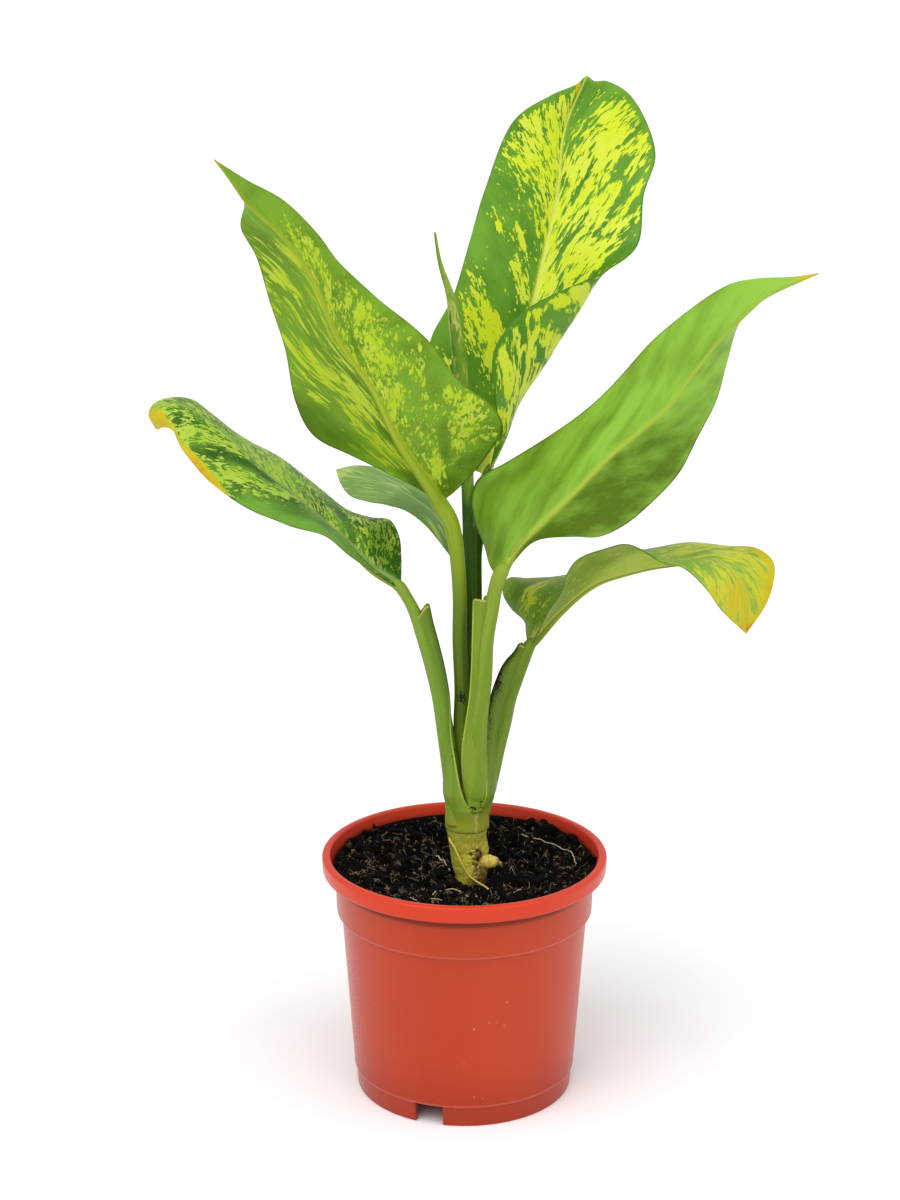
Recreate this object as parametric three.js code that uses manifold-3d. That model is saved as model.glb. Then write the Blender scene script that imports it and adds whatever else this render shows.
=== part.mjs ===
// A young potted dieffenbachia: a moulded nursery pot filled with compost, a short cane
// rooted in it, and six variegated leaves on clasping stalks round one furled new leaf.
// Millimetres, +Z up, the plant is seen from -Y. The pot's axis is X = Y = 0 while the pieces
// are made, and the finished group is moved so that its origin is the middle of its footprint.

import * as THREE from "three";
import { mergeVertices } from "three/addons/utils/BufferGeometryUtils.js";
import Module from "manifold-3d";

// ---------------------------------------------------------------- driving dimensions

const gap = 0.3; // clearance between pieces that rest against each other

const pot = {
  height: 104,
  rimRadius: 60, // a 12 cm nursery pot
  rimBandHeight: 7,
  rimLip: 1.2, // chamfer round the outer edge of the rim
  rimDraft: 0.5, // the rim band widens upwards by this much
  rimMouthRadius: 55.8,
  rimMouthLip: 0.7, // chamfer round the mouth
  collarRadius: 54.4, // the wall just under the rim band
  collarFootRadius: 53.8,
  ledgeHeight: 78.6, // where the collar steps in to the lower wall
  ledgeRise: 1.2,
  wallTopRadius: 51.7,
  wallFootRadius: 46.9,
  footLineHeight: 9.6, // the thin ledge round the foot
  footLineRise: 0.6,
  footTopRadius: 46.1,
  footRadius: 45.6,
  wall: 1.7,
  floorHeight: 9, // underside of the raised floor inside the foot ring
  footRingWidth: 2.4,
  notchWidth: 12,
  notchCount: 3,
  firstNotchDegrees: 251.3, // from +X, anticlockwise seen from above
  drainHoleRadius: 4,
  drainHoleCircle: 30,
  drainHoleCount: 6,
  drainHoleSides: 12,
  segments: 60,
};

const soil = {
  edgeHeight: 97.2, // where the compost meets the pot's wall
  middleHeight: 91, // it is dished towards the cane
  crumb: 1.5, // roughness of the surface
  rings: 8,
};

const blade = {
  thickness: 0.8,
  rows: 20,
  columnsPerHalf: 4,
  end: 0.997, // share of the length where the blunt tip is closed
  ribHeight: 2.6, // the midrib under the blade, at its base
  ribHalfWidth: 2.2,
  ribNarrowing: 0.7, // share of its width that the midrib loses towards the tip
  arch: 0.05, // how far each half bows up, as a share of its width
  ripple: 0.9, // depth of the waves along the margin
  rippleCount: 5.5,
  rippleShift: 2, // so that the two margins don't wave together
};

const stalkSides = 9;
const stalkStepsPerSpan = 2;
const stalkFlatness = 0.85; // front-to-back radius over side-to-side radius
const sheathFlatness = 0.55;

const colours = {
  terracotta: 0xc24d33,
  compost: 0x2b201a,
  cane: 0x8f9a3c,
  leaf: 0x5f9a35,
  paleLeaf: 0x9cc23c,
  newLeaf: 0x8fae3d,
};

// ------------------------------------------------------------------------ the leaves
// Each blade is drawn by its midrib and its two margins, from the stalk to the tip, with the
// left and right margins as seen on the upper face with the tip up. A folded half also has a
// curve along its middle. Stalks and sheaths are [x, y, z, radius] from the blade down.

const leaves = [
  {
    name: "right_leaf",
    colour: colours.leaf,
    rib: [
      [14, -16, 229], [21, -20, 241], [30, -25, 253], [42, -32, 267], [55, -39, 283], [67, -45, 295],
      [78, -50, 307], [87, -54, 321], [96, -57, 333], [104, -60, 342], [114, -63, 352], [130, -66, 359],
    ],
    left: [
      [13, -14, 228], [10, -10, 232], [8, -4, 238], [4, -2, 248], [3, -1, 260], [6, -1, 266],
      [16, -2, 272], [34, -8, 285], [51, -16, 300], [75, -30, 330], [98, -46, 351], [108, -54, 355],
      [121, -62, 357], [130, -66, 359],
    ],
    right: [
      [15, -15, 228], [20, -14, 235], [28, -14, 243], [43, -18, 246], [53, -22, 247], [63, -26, 253],
      [72, -30, 262], [83, -34, 276], [90, -38, 292], [96, -42, 307], [99, -46, 322], [103, -52, 339],
      [111, -58, 348], [130, -66, 359],
    ],
    stalk: [
      [23, -22, 244, 1.2], [15, -17, 232, 2.9], [12, -14, 222, 2.9], [11, -12, 214, 2.8],
      [9, -10, 200, 2.8], [8, -9, 183, 3.1], [6, -8, 165, 3.5], [5, -6, 147, 4.1],
      [4, -6.5, 134, 4], [4, -6.5, 125, 2.2],
    ],
    sheath: [
      [7, -10, 215, 3.4], [6, -8, 200, 3.5], [5, -6, 178, 3.5], [3, -5, 161, 3.7],
      [2.5, -5.5, 142, 4], [3.5, -6, 127, 2.2],
    ],
  },
  {
    name: "top_leaf",
    colour: colours.paleLeaf,
    rib: [
      [9, 13, 264], [14, 22, 284], [22, 32, 307], [28, 42, 328], [33, 52, 349], [38, 60, 371],
      [41, 66, 397], [50, 70, 419],
    ],
    left: [
      [8, 12, 264], [-4, 16, 277], [-13, 22, 295], [-14, 28, 316], [-4, 32, 336], [2, 38, 356],
      [8, 45, 375], [20, 56, 402], [34, 62, 412], [50, 70, 419],
    ],
    right: [
      [10, 10, 265], [13, 4, 286], [11, 0, 304], [12, 2, 319], [23, 8, 331], [39, 16, 339],
      [57, 26, 345], [70, 36, 354], [73, 48, 373], [78, 56, 389], [68, 64, 411], [57, 68, 420],
      [50, 70, 419],
    ],
    rightMiddle: [
      [10, 12, 265], [16, 10, 278], [22, 14, 294], [36, 22, 314], [47, 30, 330], [52, 42, 349],
      [57, 52, 368], [60, 60, 389], [57, 66, 407], [50, 70, 419],
    ],
    stalk: [
      [12, 18, 275, 1], [9, 13, 264, 2], [6, 12, 255, 2], [4, 10, 245, 2.4], [3, 8, 235, 2.8],
      [3, 7, 212, 3], [3, 6, 187, 3.2], [2, 5, 161, 3.6], [2, 4, 118, 3.8],
    ],
    sheath: [
      [3, 6, 236, 2.8], [3, 5, 226, 3.6], [3, 4, 200, 3.8], [3, 4, 170, 4], [2, 3, 118, 4],
    ],
  },
  {
    name: "left_leaf",
    colour: colours.leaf,
    rib: [
      [-10, -13, 260], [-16, -18, 270], [-26, -27, 287], [-36, -37, 310], [-48, -46, 330],
      [-57, -55, 355], [-68, -62, 372], [-80, -68, 385], [-86, -74, 395], [-90, -80, 402],
    ],
    left: [
      [-9, -12, 259], [-4, -8, 262], [4, -6, 270], [11, -8, 280], [15, -12, 289], [11, -16, 298],
      [-2, -20, 309], [-14, -26, 326], [-35, -36, 346], [-48, -44, 360], [-55, -50, 371],
      [-67, -60, 385], [-79, -68, 393], [-90, -80, 402],
    ],
    right: [
      [-11, -12, 258], [-17, -8, 262], [-26, -8, 267], [-46, -12, 278], [-60, -20, 288],
      [-66, -28, 303], [-69, -36, 325], [-74, -44, 345], [-78, -52, 363], [-83, -58, 375],
      [-81, -62, 384], [-83, -68, 391], [-90, -80, 402],
    ],
    stalk: [
      [-19, -21, 275, 1.2], [-13, -15, 264, 2.8], [-10, -13, 258, 3.4], [-6, -12, 251, 3.3],
      [-4, -10, 242, 3.2], [-3, -8, 233, 3], [-2, -5, 216, 3], [-2, -2, 198, 3.1],
      [-1, 1, 175, 3.3], [-1, 2, 160, 3.7], [0, 2, 118, 4.2],
    ],
  },
  {
    name: "lower_left_leaf",
    colour: colours.leaf,
    rib: [
      [-27, -2, 222], [-37, -4, 229], [-50, -5, 243], [-58, -5, 250], [-67, -5, 259], [-80, -5, 269],
      [-89, -5, 279], [-103, -6, 291], [-113, -7, 297], [-121, -8, 297], [-125, -8, 293],
      [-123, -6, 287],
    ],
    left: [
      [-28, -4, 221], [-37, -10, 229], [-46, -18, 238], [-56, -24, 248], [-71, -30, 254],
      [-83, -31, 260], [-94, -30, 266], [-106, -26, 277], [-111, -22, 282], [-115, -18, 289],
      [-119, -12, 289], [-122, -7, 287],
    ],
    right: [
      [-26, 0, 222], [-26, 6, 230], [-27, 14, 237], [-31, 18, 243], [-39, 20, 244], [-51, 22, 248],
      [-67, 23, 262], [-79, 23, 270], [-96, 20, 281], [-104, 16, 289], [-110, 12, 295],
      [-118, 6, 297], [-124, 0, 296], [-126, -4, 293], [-123, -6, 288],
    ],
    stalk: [
      [-38, -5, 231, 1], [-27, -2, 221, 2.4], [-24, -2, 216, 2.2], [-21.5, -2, 210, 2.3],
      [-19.5, -2, 201, 2.7], [-16.5, -2, 189, 3.1], [-13.3, -2, 174, 3.3],
      [-10.2, -2, 157, 3.6], [-7, -3, 139, 4], [-4, -4, 118, 4.6],
    ],
    sheath: [
      [-15.5, -1, 212, 1.2], [-15, -1, 205, 2], [-13.8, -1, 195, 2.6], [-11, -1, 178, 3],
      [-8, -1.5, 162, 3.4], [-5, -4, 144, 4], [-3, -5.5, 130, 4.6], [-1, -5.5, 118, 5.6],
    ],
  },
  {
    name: "lower_right_leaf",
    colour: colours.leaf,
    rib: [
      [26, 4, 194], [32, 3, 199], [39, 1, 207], [49, -1, 217], [56, -2, 222], [64, -3, 226],
      [75, -4, 229], [87, -5, 231], [100, -6, 233], [110, -8, 227], [114, -9, 217], [114, -10, 203],
    ],
    left: [
      [26, 6, 194], [24, 12, 197], [19, 18, 205], [16, 22, 211], [18, 26, 216], [27, 30, 215],
      [40, 32, 215], [57, 30, 222], [73, 26, 228], [89, 20, 233], [107, 12, 234], [119, 4, 235],
      [125, -2, 231], [125, -5, 224], [122, -8, 215], [114, -10, 203],
    ],
    right: [
      [28, 2, 194], [31, -4, 204], [34, -8, 212], [39, -11, 221], [41, -13, 229], [45, -14, 235],
      [55, -15, 240], [65, -16, 242], [79, -17, 235], [87, -18, 233], [96, -19, 225],
      [103, -17, 215], [114, -10, 203],
    ],
    stalk: [
      [34, 2, 201, 1], [27, 4, 194, 2.5], [24, 4, 187, 2.9], [21, 4, 179, 3.2], [18, 4, 170, 3.4],
      [16, 3, 161, 3.6], [13, 2, 149, 3.8], [10, 0, 136, 4], [6, -2, 118, 4.8],
    ],
    sheath: [
      [22, 5, 194, 1.2], [19.8, 5, 188, 2.1], [17, 4, 180, 2.6], [14.5, 4, 171, 2.8],
      [12.5, 3, 161, 3.1], [9, -2, 140, 3.6], [6, -4.5, 126, 4.4], [5, -5.5, 118, 5.2],
    ],
  },
  {
    name: "back_leaf",
    colour: colours.leaf,
    rib: [
      [-4, 14, 229], [-8, 22, 238], [-14, 32, 243], [-24, 46, 247], [-34, 60, 248], [-45, 74, 248],
      [-56, 86, 248],
    ],
    left: [
      [-5, 12, 228], [-8, 10, 233], [-16, 14, 242], [-24, 22, 246], [-32, 32, 246], [-41, 46, 244],
      [-49, 60, 243], [-54, 76, 245], [-56, 86, 248],
    ],
    right: [
      [-3, 16, 230], [-2, 34, 236], [-10, 54, 243], [-20, 68, 246], [-28, 78, 247], [-38, 86, 249],
      [-48, 90, 249], [-53, 90, 248], [-56, 86, 248],
    ],
    stalk: [
      [-7, 20, 236, 0.9], [-4, 14, 229, 1.8], [-2, 14, 217, 2.1], [0, 12, 202, 2.5],
      [1, 10, 177, 2.5], [2, 8, 151, 2.9], [2, 6, 118, 3.4],
    ],
  },
];

// The youngest leaf is still rolled into a spear in the middle of the plant.
const spear = [
  [-12, 2, 364, 0.5], [-10, 2, 352, 0.9], [-6, 2, 339, 1.8], [-4, 2, 325, 2.7], [-2, 2, 311, 2.9],
  [0, 2, 289, 2.8], [1, 3, 264, 2.6], [2, 3, 213, 2.5], [2, 3, 118, 2.5],
];

// The cane tapers inside the clasping stalks, swells at its ring scar and narrows at the soil.
const cane = [
  [1, 1, 150, 1.5], [1, 1, 140, 4], [1, 0, 130, 6.8], [1, 0, 124, 8.6], [1, 0, 118, 8.9],
  [1, 0, 113, 8.7], [1, 0, 110.5, 8], [2, 0, 106, 8.1], [2, -1, 101, 7.6], [3, -2, 95, 6.8],
  [2, -2, 88, 6], [2, -2, 60, 4.5],
];

// A stubby side root above the soil: [x, y, z, radius].
const sideRoot = [
  [5, -3, 101, 3], [9, -4, 101.5, 2.7], [12, -5, 101, 2.3], [15, -6, 98.5, 1.8], [18, -7, 94, 1.4],
  [20, -8, 88, 1],
];

// Anchoring roots from the buried end of the cane, spread evenly round it.
const buriedRoots = {
  count: 5,
  sides: 6,
  steps: 5,
  radius: 1.3,
  topHeight: 70,
  reach: 30,
  depth: 44,
};

// One thin root runs down the front of the cane into the compost.
const threadRoot = {
  radius: 0.5,
  sides: 5,
  steps: 10,
  path: [
    [-2, -4, 112], [-4, -6.6, 110], [-3, -7.4, 108], [0, -8.7, 103], [4, -9, 97],
    [7, -8.6, 92], [9, -10, 86],
  ],
};

// ------------------------------------------------------------------- solid geometry

const wasm = await Module();
wasm.setup();

const mergeDistance = 1e-4;
const front = new THREE.Vector3(0, -1, 0);

function toVector(point) {
  return new THREE.Vector3(point[0], point[1], point[2]);
}

function curveThrough(points) {
  return new THREE.CatmullRomCurve3(points.map(toVector), false, "centripetal");
}

function solidFrom(geometry) {
  const bare = geometry.clone();
  bare.deleteAttribute("normal");
  bare.deleteAttribute("uv");
  const merged = mergeVertices(bare, mergeDistance);
  return new wasm.Manifold(
    new wasm.Mesh({
      numProp: 3,
      vertProperties: merged.attributes.position.array,
      triVerts: new Uint32Array(merged.index.array),
    }),
  );
}

function geometryFrom(solid) {
  const mesh = solid.getMesh();
  const geometry = new THREE.BufferGeometry();
  geometry.setAttribute("position", new THREE.BufferAttribute(mesh.vertProperties, 3));
  geometry.setIndex(new THREE.BufferAttribute(mesh.triVerts, 1));
  geometry.computeVertexNormals();
  return geometry;
}

function largestBody(solid) {
  return solid.decompose().reduce((most, body) => (body.volume() > most.volume() ? body : most));
}

function trimmed(solid, neighbours) {
  const rest = neighbours.reduce((left, neighbour) => left.subtract(neighbour), solid);
  return largestBody(rest);
}

// A closed skin over rows of points: each row is a ring, and both ends are fans.
function solidOfRings(rings) {
  const sides = rings[0].length;
  const positions = rings.flat().flatMap((point) => point.toArray());
  const triangles = [];
  for (let row = 0; row + 1 < rings.length; row++) {
    for (let side = 0; side < sides; side++) {
      const next = (side + 1) % sides;
      const a = row * sides + side;
      const b = row * sides + next;
      triangles.push(a, b, b + sides, a, b + sides, a + sides);
    }
  }
  const endRow = (rings.length - 1) * sides;
  for (let side = 1; side + 1 < sides; side++) {
    triangles.push(0, side + 1, side);
    triangles.push(endRow, endRow + side, endRow + side + 1);
  }
  const geometry = new THREE.BufferGeometry();
  geometry.setAttribute("position", new THREE.Float32BufferAttribute(positions, 3));
  geometry.setIndex(triangles);
  return solidFrom(geometry);
}

// A tapering stalk along [x, y, z, radius] points, oval in section and `extra` thicker.
function stalkSolid(points, flatness, extra = 0) {
  const curve = curveThrough(points);
  const spans = points.length - 1;
  const steps = spans * stalkStepsPerSpan;
  const rings = [];
  for (let step = steps; step >= 0; step--) {
    const t = step / steps;
    const along = t * spans;
    const span = Math.min(Math.floor(along), spans - 1);
    const radius = THREE.MathUtils.lerp(points[span][3], points[span + 1][3], along - span);
    const centre = curve.getPoint(t);
    const upward = curve.getTangent(t).negate();
    const across = upward.clone().cross(front).normalize();
    const forward = across.clone().cross(upward).normalize();
    const ring = [];
    for (let side = 0; side < stalkSides; side++) {
      const angle = (side / stalkSides) * 2 * Math.PI;
      ring.push(
        centre
          .clone()
          .addScaledVector(across, (radius + extra) * Math.cos(angle))
          .addScaledVector(forward, -(radius * flatness + extra) * Math.sin(angle)),
      );
    }
    rings.push(ring);
  }
  return solidOfRings(rings);
}

// A round root of even thickness along a path, with the sides and steps of its kind.
function rootSolid(path, { radius, sides, steps }, extra) {
  const outline = [];
  for (let side = 0; side < sides; side++) {
    const angle = (side / sides) * 2 * Math.PI;
    const reach = radius + extra;
    outline.push(new THREE.Vector2(reach * Math.cos(angle), reach * Math.sin(angle)));
  }
  const options = { steps, bevelEnabled: false, extrudePath: curveThrough(path) };
  return solidFrom(new THREE.ExtrudeGeometry(new THREE.Shape(outline), options));
}

// ------------------------------------------------------------------------ leaf blade

// The point of a blade at `u` of its length and `across` from -1, the left margin, to 1.
function bladePoint(curves, u, across) {
  const rib = curves.rib.getPointAt(u);
  const leftEdge = curves.left.getPointAt(u);
  const rightEdge = curves.right.getPointAt(u);
  const edge = across < 0 ? leftEdge : rightEdge;
  const share = Math.abs(across);
  const tangent = curves.rib.getTangentAt(u);
  const upper = rightEdge.clone().sub(leftEdge).cross(tangent).normalize();
  const middle =
    across > 0 && curves.rightMiddle
      ? curves.rightMiddle.getPointAt(u)
      : rib
          .clone()
          .add(edge)
          .multiplyScalar(0.5)
          .addScaledVector(upper, blade.arch * rib.distanceTo(edge));
  const phase = 2 * Math.PI * blade.rippleCount * u + across * blade.rippleShift;
  const wave = Math.sin(phase) * Math.sin(Math.PI * u);
  return new THREE.Vector3()
    .addScaledVector(rib, (1 - share) * (1 - 2 * share))
    .addScaledVector(middle, 4 * share * (1 - share))
    .addScaledVector(edge, share * (2 * share - 1))
    .addScaledVector(upper, blade.ripple * share ** 3 * wave);
}

// The columns of a row: the midrib, its two foot lines, and even steps out to each margin.
function bladeColumns(curves, u) {
  const rib = curves.rib.getPointAt(u);
  const columns = [0];
  for (const [side, margin] of [[-1, curves.left], [1, curves.right]]) {
    const width = margin.getPointAt(u).distanceTo(rib);
    const foot = Math.min(0.5, (blade.ribHalfWidth * (1 - blade.ribNarrowing * u)) / Math.max(width, 1));
    for (let column = 0; column < blade.columnsPerHalf; column++) {
      const share = foot + ((1 - foot) * column) / (blade.columnsPerHalf - 1);
      columns.push(side * share);
    }
  }
  return columns.sort((a, b) => a - b);
}

function bladeSolid(leaf) {
  const curves = {
    rib: curveThrough(leaf.rib),
    left: curveThrough(leaf.left),
    right: curveThrough(leaf.right),
    rightMiddle: leaf.rightMiddle && curveThrough(leaf.rightMiddle),
  };
  const columnCount = 2 * blade.columnsPerHalf + 1;
  const sheet = [];
  for (let row = 0; row <= blade.rows; row++) {
    const u = (blade.end * row) / blade.rows;
    sheet.push(bladeColumns(curves, u).map((across) => bladePoint(curves, u, across)));
  }

  // Upper and lower skins lie half the thickness off the sheet, the lower one further at the rib.
  const upperSkin = [];
  const lowerSkin = [];
  const ribColumn = blade.columnsPerHalf;
  sheet.forEach((points, row) => {
    const before = sheet[Math.max(row - 1, 0)];
    const after = sheet[Math.min(row + 1, blade.rows)];
    points.forEach((point, column) => {
      const acrossStep = points[Math.min(column + 1, columnCount - 1)]
        .clone()
        .sub(points[Math.max(column - 1, 0)]);
      const alongStep = after[column].clone().sub(before[column]);
      const normal = acrossStep.cross(alongStep).normalize();
      const keel = column === ribColumn ? blade.ribHeight * (1 - row / blade.rows) : 0;
      upperSkin.push(point.clone().addScaledVector(normal, blade.thickness / 2));
      lowerSkin.push(point.clone().addScaledVector(normal, -blade.thickness / 2 - keel));
    });
  });

  const lowerStart = upperSkin.length;
  const triangles = [];
  const upperAt = (row, column) => row * columnCount + column;
  const lowerAt = (row, column) => lowerStart + row * columnCount + column;
  const addQuad = (a, b, c, d) => triangles.push(a, b, c, a, c, d);
  for (let row = 0; row < blade.rows; row++) {
    const next = row + 1;
    for (let column = 0; column + 1 < columnCount; column++) {
      const right = column + 1;
      addQuad(upperAt(row, column), upperAt(row, right), upperAt(next, right), upperAt(next, column));
      triangles.push(lowerAt(row, column), lowerAt(next, right), lowerAt(row, right));
      triangles.push(lowerAt(row, column), lowerAt(next, column), lowerAt(next, right));
    }
    const last = columnCount - 1;
    addQuad(lowerAt(row, 0), upperAt(row, 0), upperAt(next, 0), lowerAt(next, 0));
    addQuad(lowerAt(row, last), lowerAt(next, last), upperAt(next, last), upperAt(row, last));
  }
  for (let column = 0; column + 1 < columnCount; column++) {
    const right = column + 1;
    const tip = blade.rows;
    addQuad(lowerAt(0, column), lowerAt(0, right), upperAt(0, right), upperAt(0, column));
    addQuad(lowerAt(tip, column), upperAt(tip, column), upperAt(tip, right), lowerAt(tip, right));
  }

  const geometry = new THREE.BufferGeometry();
  const positions = [...upperSkin, ...lowerSkin].flatMap((point) => point.toArray());
  geometry.setAttribute("position", new THREE.Float32BufferAttribute(positions, 3));
  geometry.setIndex(triangles);
  return solidFrom(geometry);
}

// ------------------------------------------------------------------ the plant's stalks

function leafStalk(leaf, extra = 0) {
  const stalk = stalkSolid(leaf.stalk, stalkFlatness, extra);
  return leaf.sheath ? stalk.add(stalkSolid(leaf.sheath, sheathFlatness, extra)) : stalk;
}

function buriedRootPath(index) {
  const turn = (index / buriedRoots.count) * 2 * Math.PI;
  const [x, y] = cane[cane.length - 1];
  const shares = [0, 0.3, 0.7, 1];
  return shares.map((share) => [
    x + share * buriedRoots.reach * Math.cos(turn),
    y + share * buriedRoots.reach * Math.sin(turn),
    buriedRoots.topHeight - share ** 1.5 * buriedRoots.depth,
  ]);
}

function caneSolid(extra = 0) {
  let solid = stalkSolid(cane, 1, extra);
  solid = solid.add(stalkSolid(sideRoot, 1, extra));
  solid = solid.add(rootSolid(threadRoot.path, threadRoot, extra));
  for (let index = 0; index < buriedRoots.count; index++) {
    solid = solid.add(rootSolid(buriedRootPath(index), buriedRoots, extra));
  }
  return solid;
}

// ------------------------------------------------------------------- pot and compost

function circlePoint(radius, degrees) {
  const angle = THREE.MathUtils.degToRad(degrees);
  return [radius * Math.cos(angle), radius * Math.sin(angle)];
}

// LatheGeometry turns about Y, so what it makes is stood up along Z.
function turned(profile) {
  const geometry = new THREE.LatheGeometry(
    profile.map(([radius, height]) => new THREE.Vector2(radius, height)),
    pot.segments,
  );
  return geometry.rotateX(Math.PI / 2);
}

// The wall from `footHeight` up past the ledge, `inset` in from the pot's outer skin.
function wallProfile(inset, footHeight) {
  return [
    [pot.wallFootRadius - inset, footHeight],
    [pot.wallTopRadius - inset, pot.ledgeHeight - pot.ledgeRise / 2 + inset / 2],
    [pot.collarFootRadius - inset, pot.ledgeHeight + pot.ledgeRise / 2 + inset / 2],
  ];
}

function potSolid() {
  const bandFoot = pot.height - pot.rimBandHeight;
  const floorTop = pot.floorHeight + pot.wall;
  const profile = [
    [0, pot.floorHeight],
    [pot.footRadius - pot.footRingWidth, pot.floorHeight],
    [pot.footRadius - pot.footRingWidth, 0],
    [pot.footRadius, 0],
    [pot.footTopRadius, pot.footLineHeight - pot.footLineRise],
    ...wallProfile(0, pot.footLineHeight),
    [pot.collarRadius, bandFoot],
    [pot.rimRadius - pot.rimDraft, bandFoot],
    [pot.rimRadius, pot.height - pot.rimLip],
    [pot.rimRadius - pot.rimLip, pot.height],
    [pot.rimMouthRadius + pot.rimMouthLip, pot.height],
    [pot.rimMouthRadius, pot.height - pot.rimMouthLip],
    [pot.rimMouthRadius - pot.rimDraft, bandFoot + pot.rimLip],
    [pot.collarRadius - pot.wall, bandFoot - pot.wall],
    ...wallProfile(pot.wall, floorTop).reverse(),
    [0, floorTop],
  ];
  let solid = solidFrom(turned(profile));
  for (let index = 0; index < pot.notchCount; index++) {
    const degrees = pot.firstNotchDegrees + (index * 360) / pot.notchCount;
    const depth = 4 * pot.footRingWidth;
    const notch = new THREE.BoxGeometry(depth, pot.notchWidth, 2 * pot.floorHeight);
    notch.rotateZ(THREE.MathUtils.degToRad(degrees));
    notch.translate(...circlePoint(pot.footRadius, degrees), 0);
    solid = solid.subtract(solidFrom(notch));
  }
  for (let index = 0; index < pot.drainHoleCount; index++) {
    const degrees = (index * 360) / pot.drainHoleCount;
    const length = 4 * pot.wall;
    const hole = new THREE.CylinderGeometry(
      pot.drainHoleRadius,
      pot.drainHoleRadius,
      length,
      pot.drainHoleSides,
    );
    hole.rotateX(Math.PI / 2);
    hole.translate(...circlePoint(pot.drainHoleCircle, degrees), pot.floorHeight);
    solid = solid.subtract(solidFrom(hole));
  }
  return solid;
}

// The same place always gets the same random value from 0 to 1.
function scatter(x, y) {
  const value = Math.sin(x * 12.9898 + y * 78.233) * 43758.5453;
  return value - Math.floor(value);
}

function soilSolid() {
  const underside = pot.floorHeight + pot.wall + gap;
  const edgeRadius = pot.collarFootRadius - pot.wall - gap;
  const profile = [
    [0, underside],
    ...wallProfile(pot.wall + gap, underside),
    [edgeRadius, soil.edgeHeight],
  ];
  for (let ring = 1; ring <= soil.rings; ring++) {
    const share = 1 - ring / soil.rings;
    const rise = (soil.edgeHeight - soil.middleHeight) * share ** 1.5;
    profile.push([edgeRadius * share, soil.middleHeight + rise]);
  }
  const geometry = turned(profile);
  const position = geometry.attributes.position;
  for (let index = 0; index < position.count; index++) {
    const x = Math.round(position.getX(index) * 10) / 10;
    const y = Math.round(position.getY(index) * 10) / 10;
    const isTop = position.getZ(index) > soil.middleHeight - 1;
    const isInside = Math.hypot(x, y) < edgeRadius - 1;
    if (isTop && isInside) {
      const height = position.getZ(index) + soil.crumb * (2 * scatter(x, y) - 1);
      position.setZ(index, height);
    }
  }
  return solidFrom(geometry);
}

// ----------------------------------------------------------------------- the assembly

function namedMesh(name, solid, colour, roughness) {
  const material = new THREE.MeshStandardMaterial({ color: colour, roughness, metalness: 0 });
  const mesh = new THREE.Mesh(geometryFrom(solid), material);
  mesh.name = name;
  return mesh;
}

const pottedPlant = new THREE.Group();

const potGroup = new THREE.Group();
potGroup.add(namedMesh("pot", potSolid(), colours.terracotta, 0.45));
potGroup.add(namedMesh("compost", trimmed(soilSolid(), [caneSolid(gap)]), colours.compost, 0.95));
pottedPlant.add(potGroup);

// Each stalk is pared where it clasps the cane and the stalks inside it.
const plantGroup = new THREE.Group();
plantGroup.add(namedMesh("cane", caneSolid(), colours.cane, 0.6));
const clasped = [caneSolid(gap)];
for (const leaf of leaves) {
  const stalk = trimmed(leafStalk(leaf), clasped);
  plantGroup.add(namedMesh(leaf.name, stalk.add(bladeSolid(leaf)), leaf.colour, 0.45));
  clasped.push(leafStalk(leaf, gap));
  if (leaf.name === "right_leaf") {
    const furled = trimmed(stalkSolid(spear, stalkFlatness), clasped);
    plantGroup.add(namedMesh("furled_new_leaf", furled, colours.newLeaf, 0.45));
    clasped.push(stalkSolid(spear, stalkFlatness, gap));
  }
}
pottedPlant.add(plantGroup);

const outerBox = new THREE.Box3().setFromObject(pottedPlant);
const footprintMiddle = outerBox.getCenter(new THREE.Vector3());
pottedPlant.position.set(-footprintMiddle.x, -footprintMiddle.y, -outerBox.min.z);

export default pottedPlant;
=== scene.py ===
import math
from itertools import combinations
from types import SimpleNamespace

import bpy
import numpy as np
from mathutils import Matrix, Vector, noise


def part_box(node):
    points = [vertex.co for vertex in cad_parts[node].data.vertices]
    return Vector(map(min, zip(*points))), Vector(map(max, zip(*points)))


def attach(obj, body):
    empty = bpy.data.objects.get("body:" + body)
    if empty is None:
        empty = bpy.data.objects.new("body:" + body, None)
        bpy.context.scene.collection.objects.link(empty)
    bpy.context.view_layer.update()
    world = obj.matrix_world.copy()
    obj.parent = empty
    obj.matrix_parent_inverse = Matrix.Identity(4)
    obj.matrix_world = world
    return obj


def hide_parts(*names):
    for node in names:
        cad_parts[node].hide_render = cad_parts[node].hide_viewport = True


# A young variegated dieffenbachia in a moulded nursery pot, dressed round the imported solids.
# Shapes are worked out in millimetres about the pot's axis, with +Z up and the viewer at -Y,
# and become metres in the row's frame when their mesh is made.

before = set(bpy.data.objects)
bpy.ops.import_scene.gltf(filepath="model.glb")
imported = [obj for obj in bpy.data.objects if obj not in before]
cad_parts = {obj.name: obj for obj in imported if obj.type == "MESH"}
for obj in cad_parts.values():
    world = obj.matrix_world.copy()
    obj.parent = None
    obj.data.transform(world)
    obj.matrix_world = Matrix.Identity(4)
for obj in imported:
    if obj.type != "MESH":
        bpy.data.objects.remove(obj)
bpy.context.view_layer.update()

MM = 0.001
pot_low, pot_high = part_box("pot")
POT_AXIS = np.array([(pot_low.x + pot_high.x) / 2, (pot_low.y + pot_high.y) / 2, 0.0])
POT_HEIGHT = pot_high.z / MM
RIM_RADIUS = (pot_high.x - pot_low.x) / 2 / MM

random = np.random.default_rng(11)

# ------------------------------------------------------------------------ curves and meshes


def unit(vectors):
    lengths = np.linalg.norm(vectors, axis=-1, keepdims=True)
    return vectors / np.maximum(lengths, 1e-9)


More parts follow.
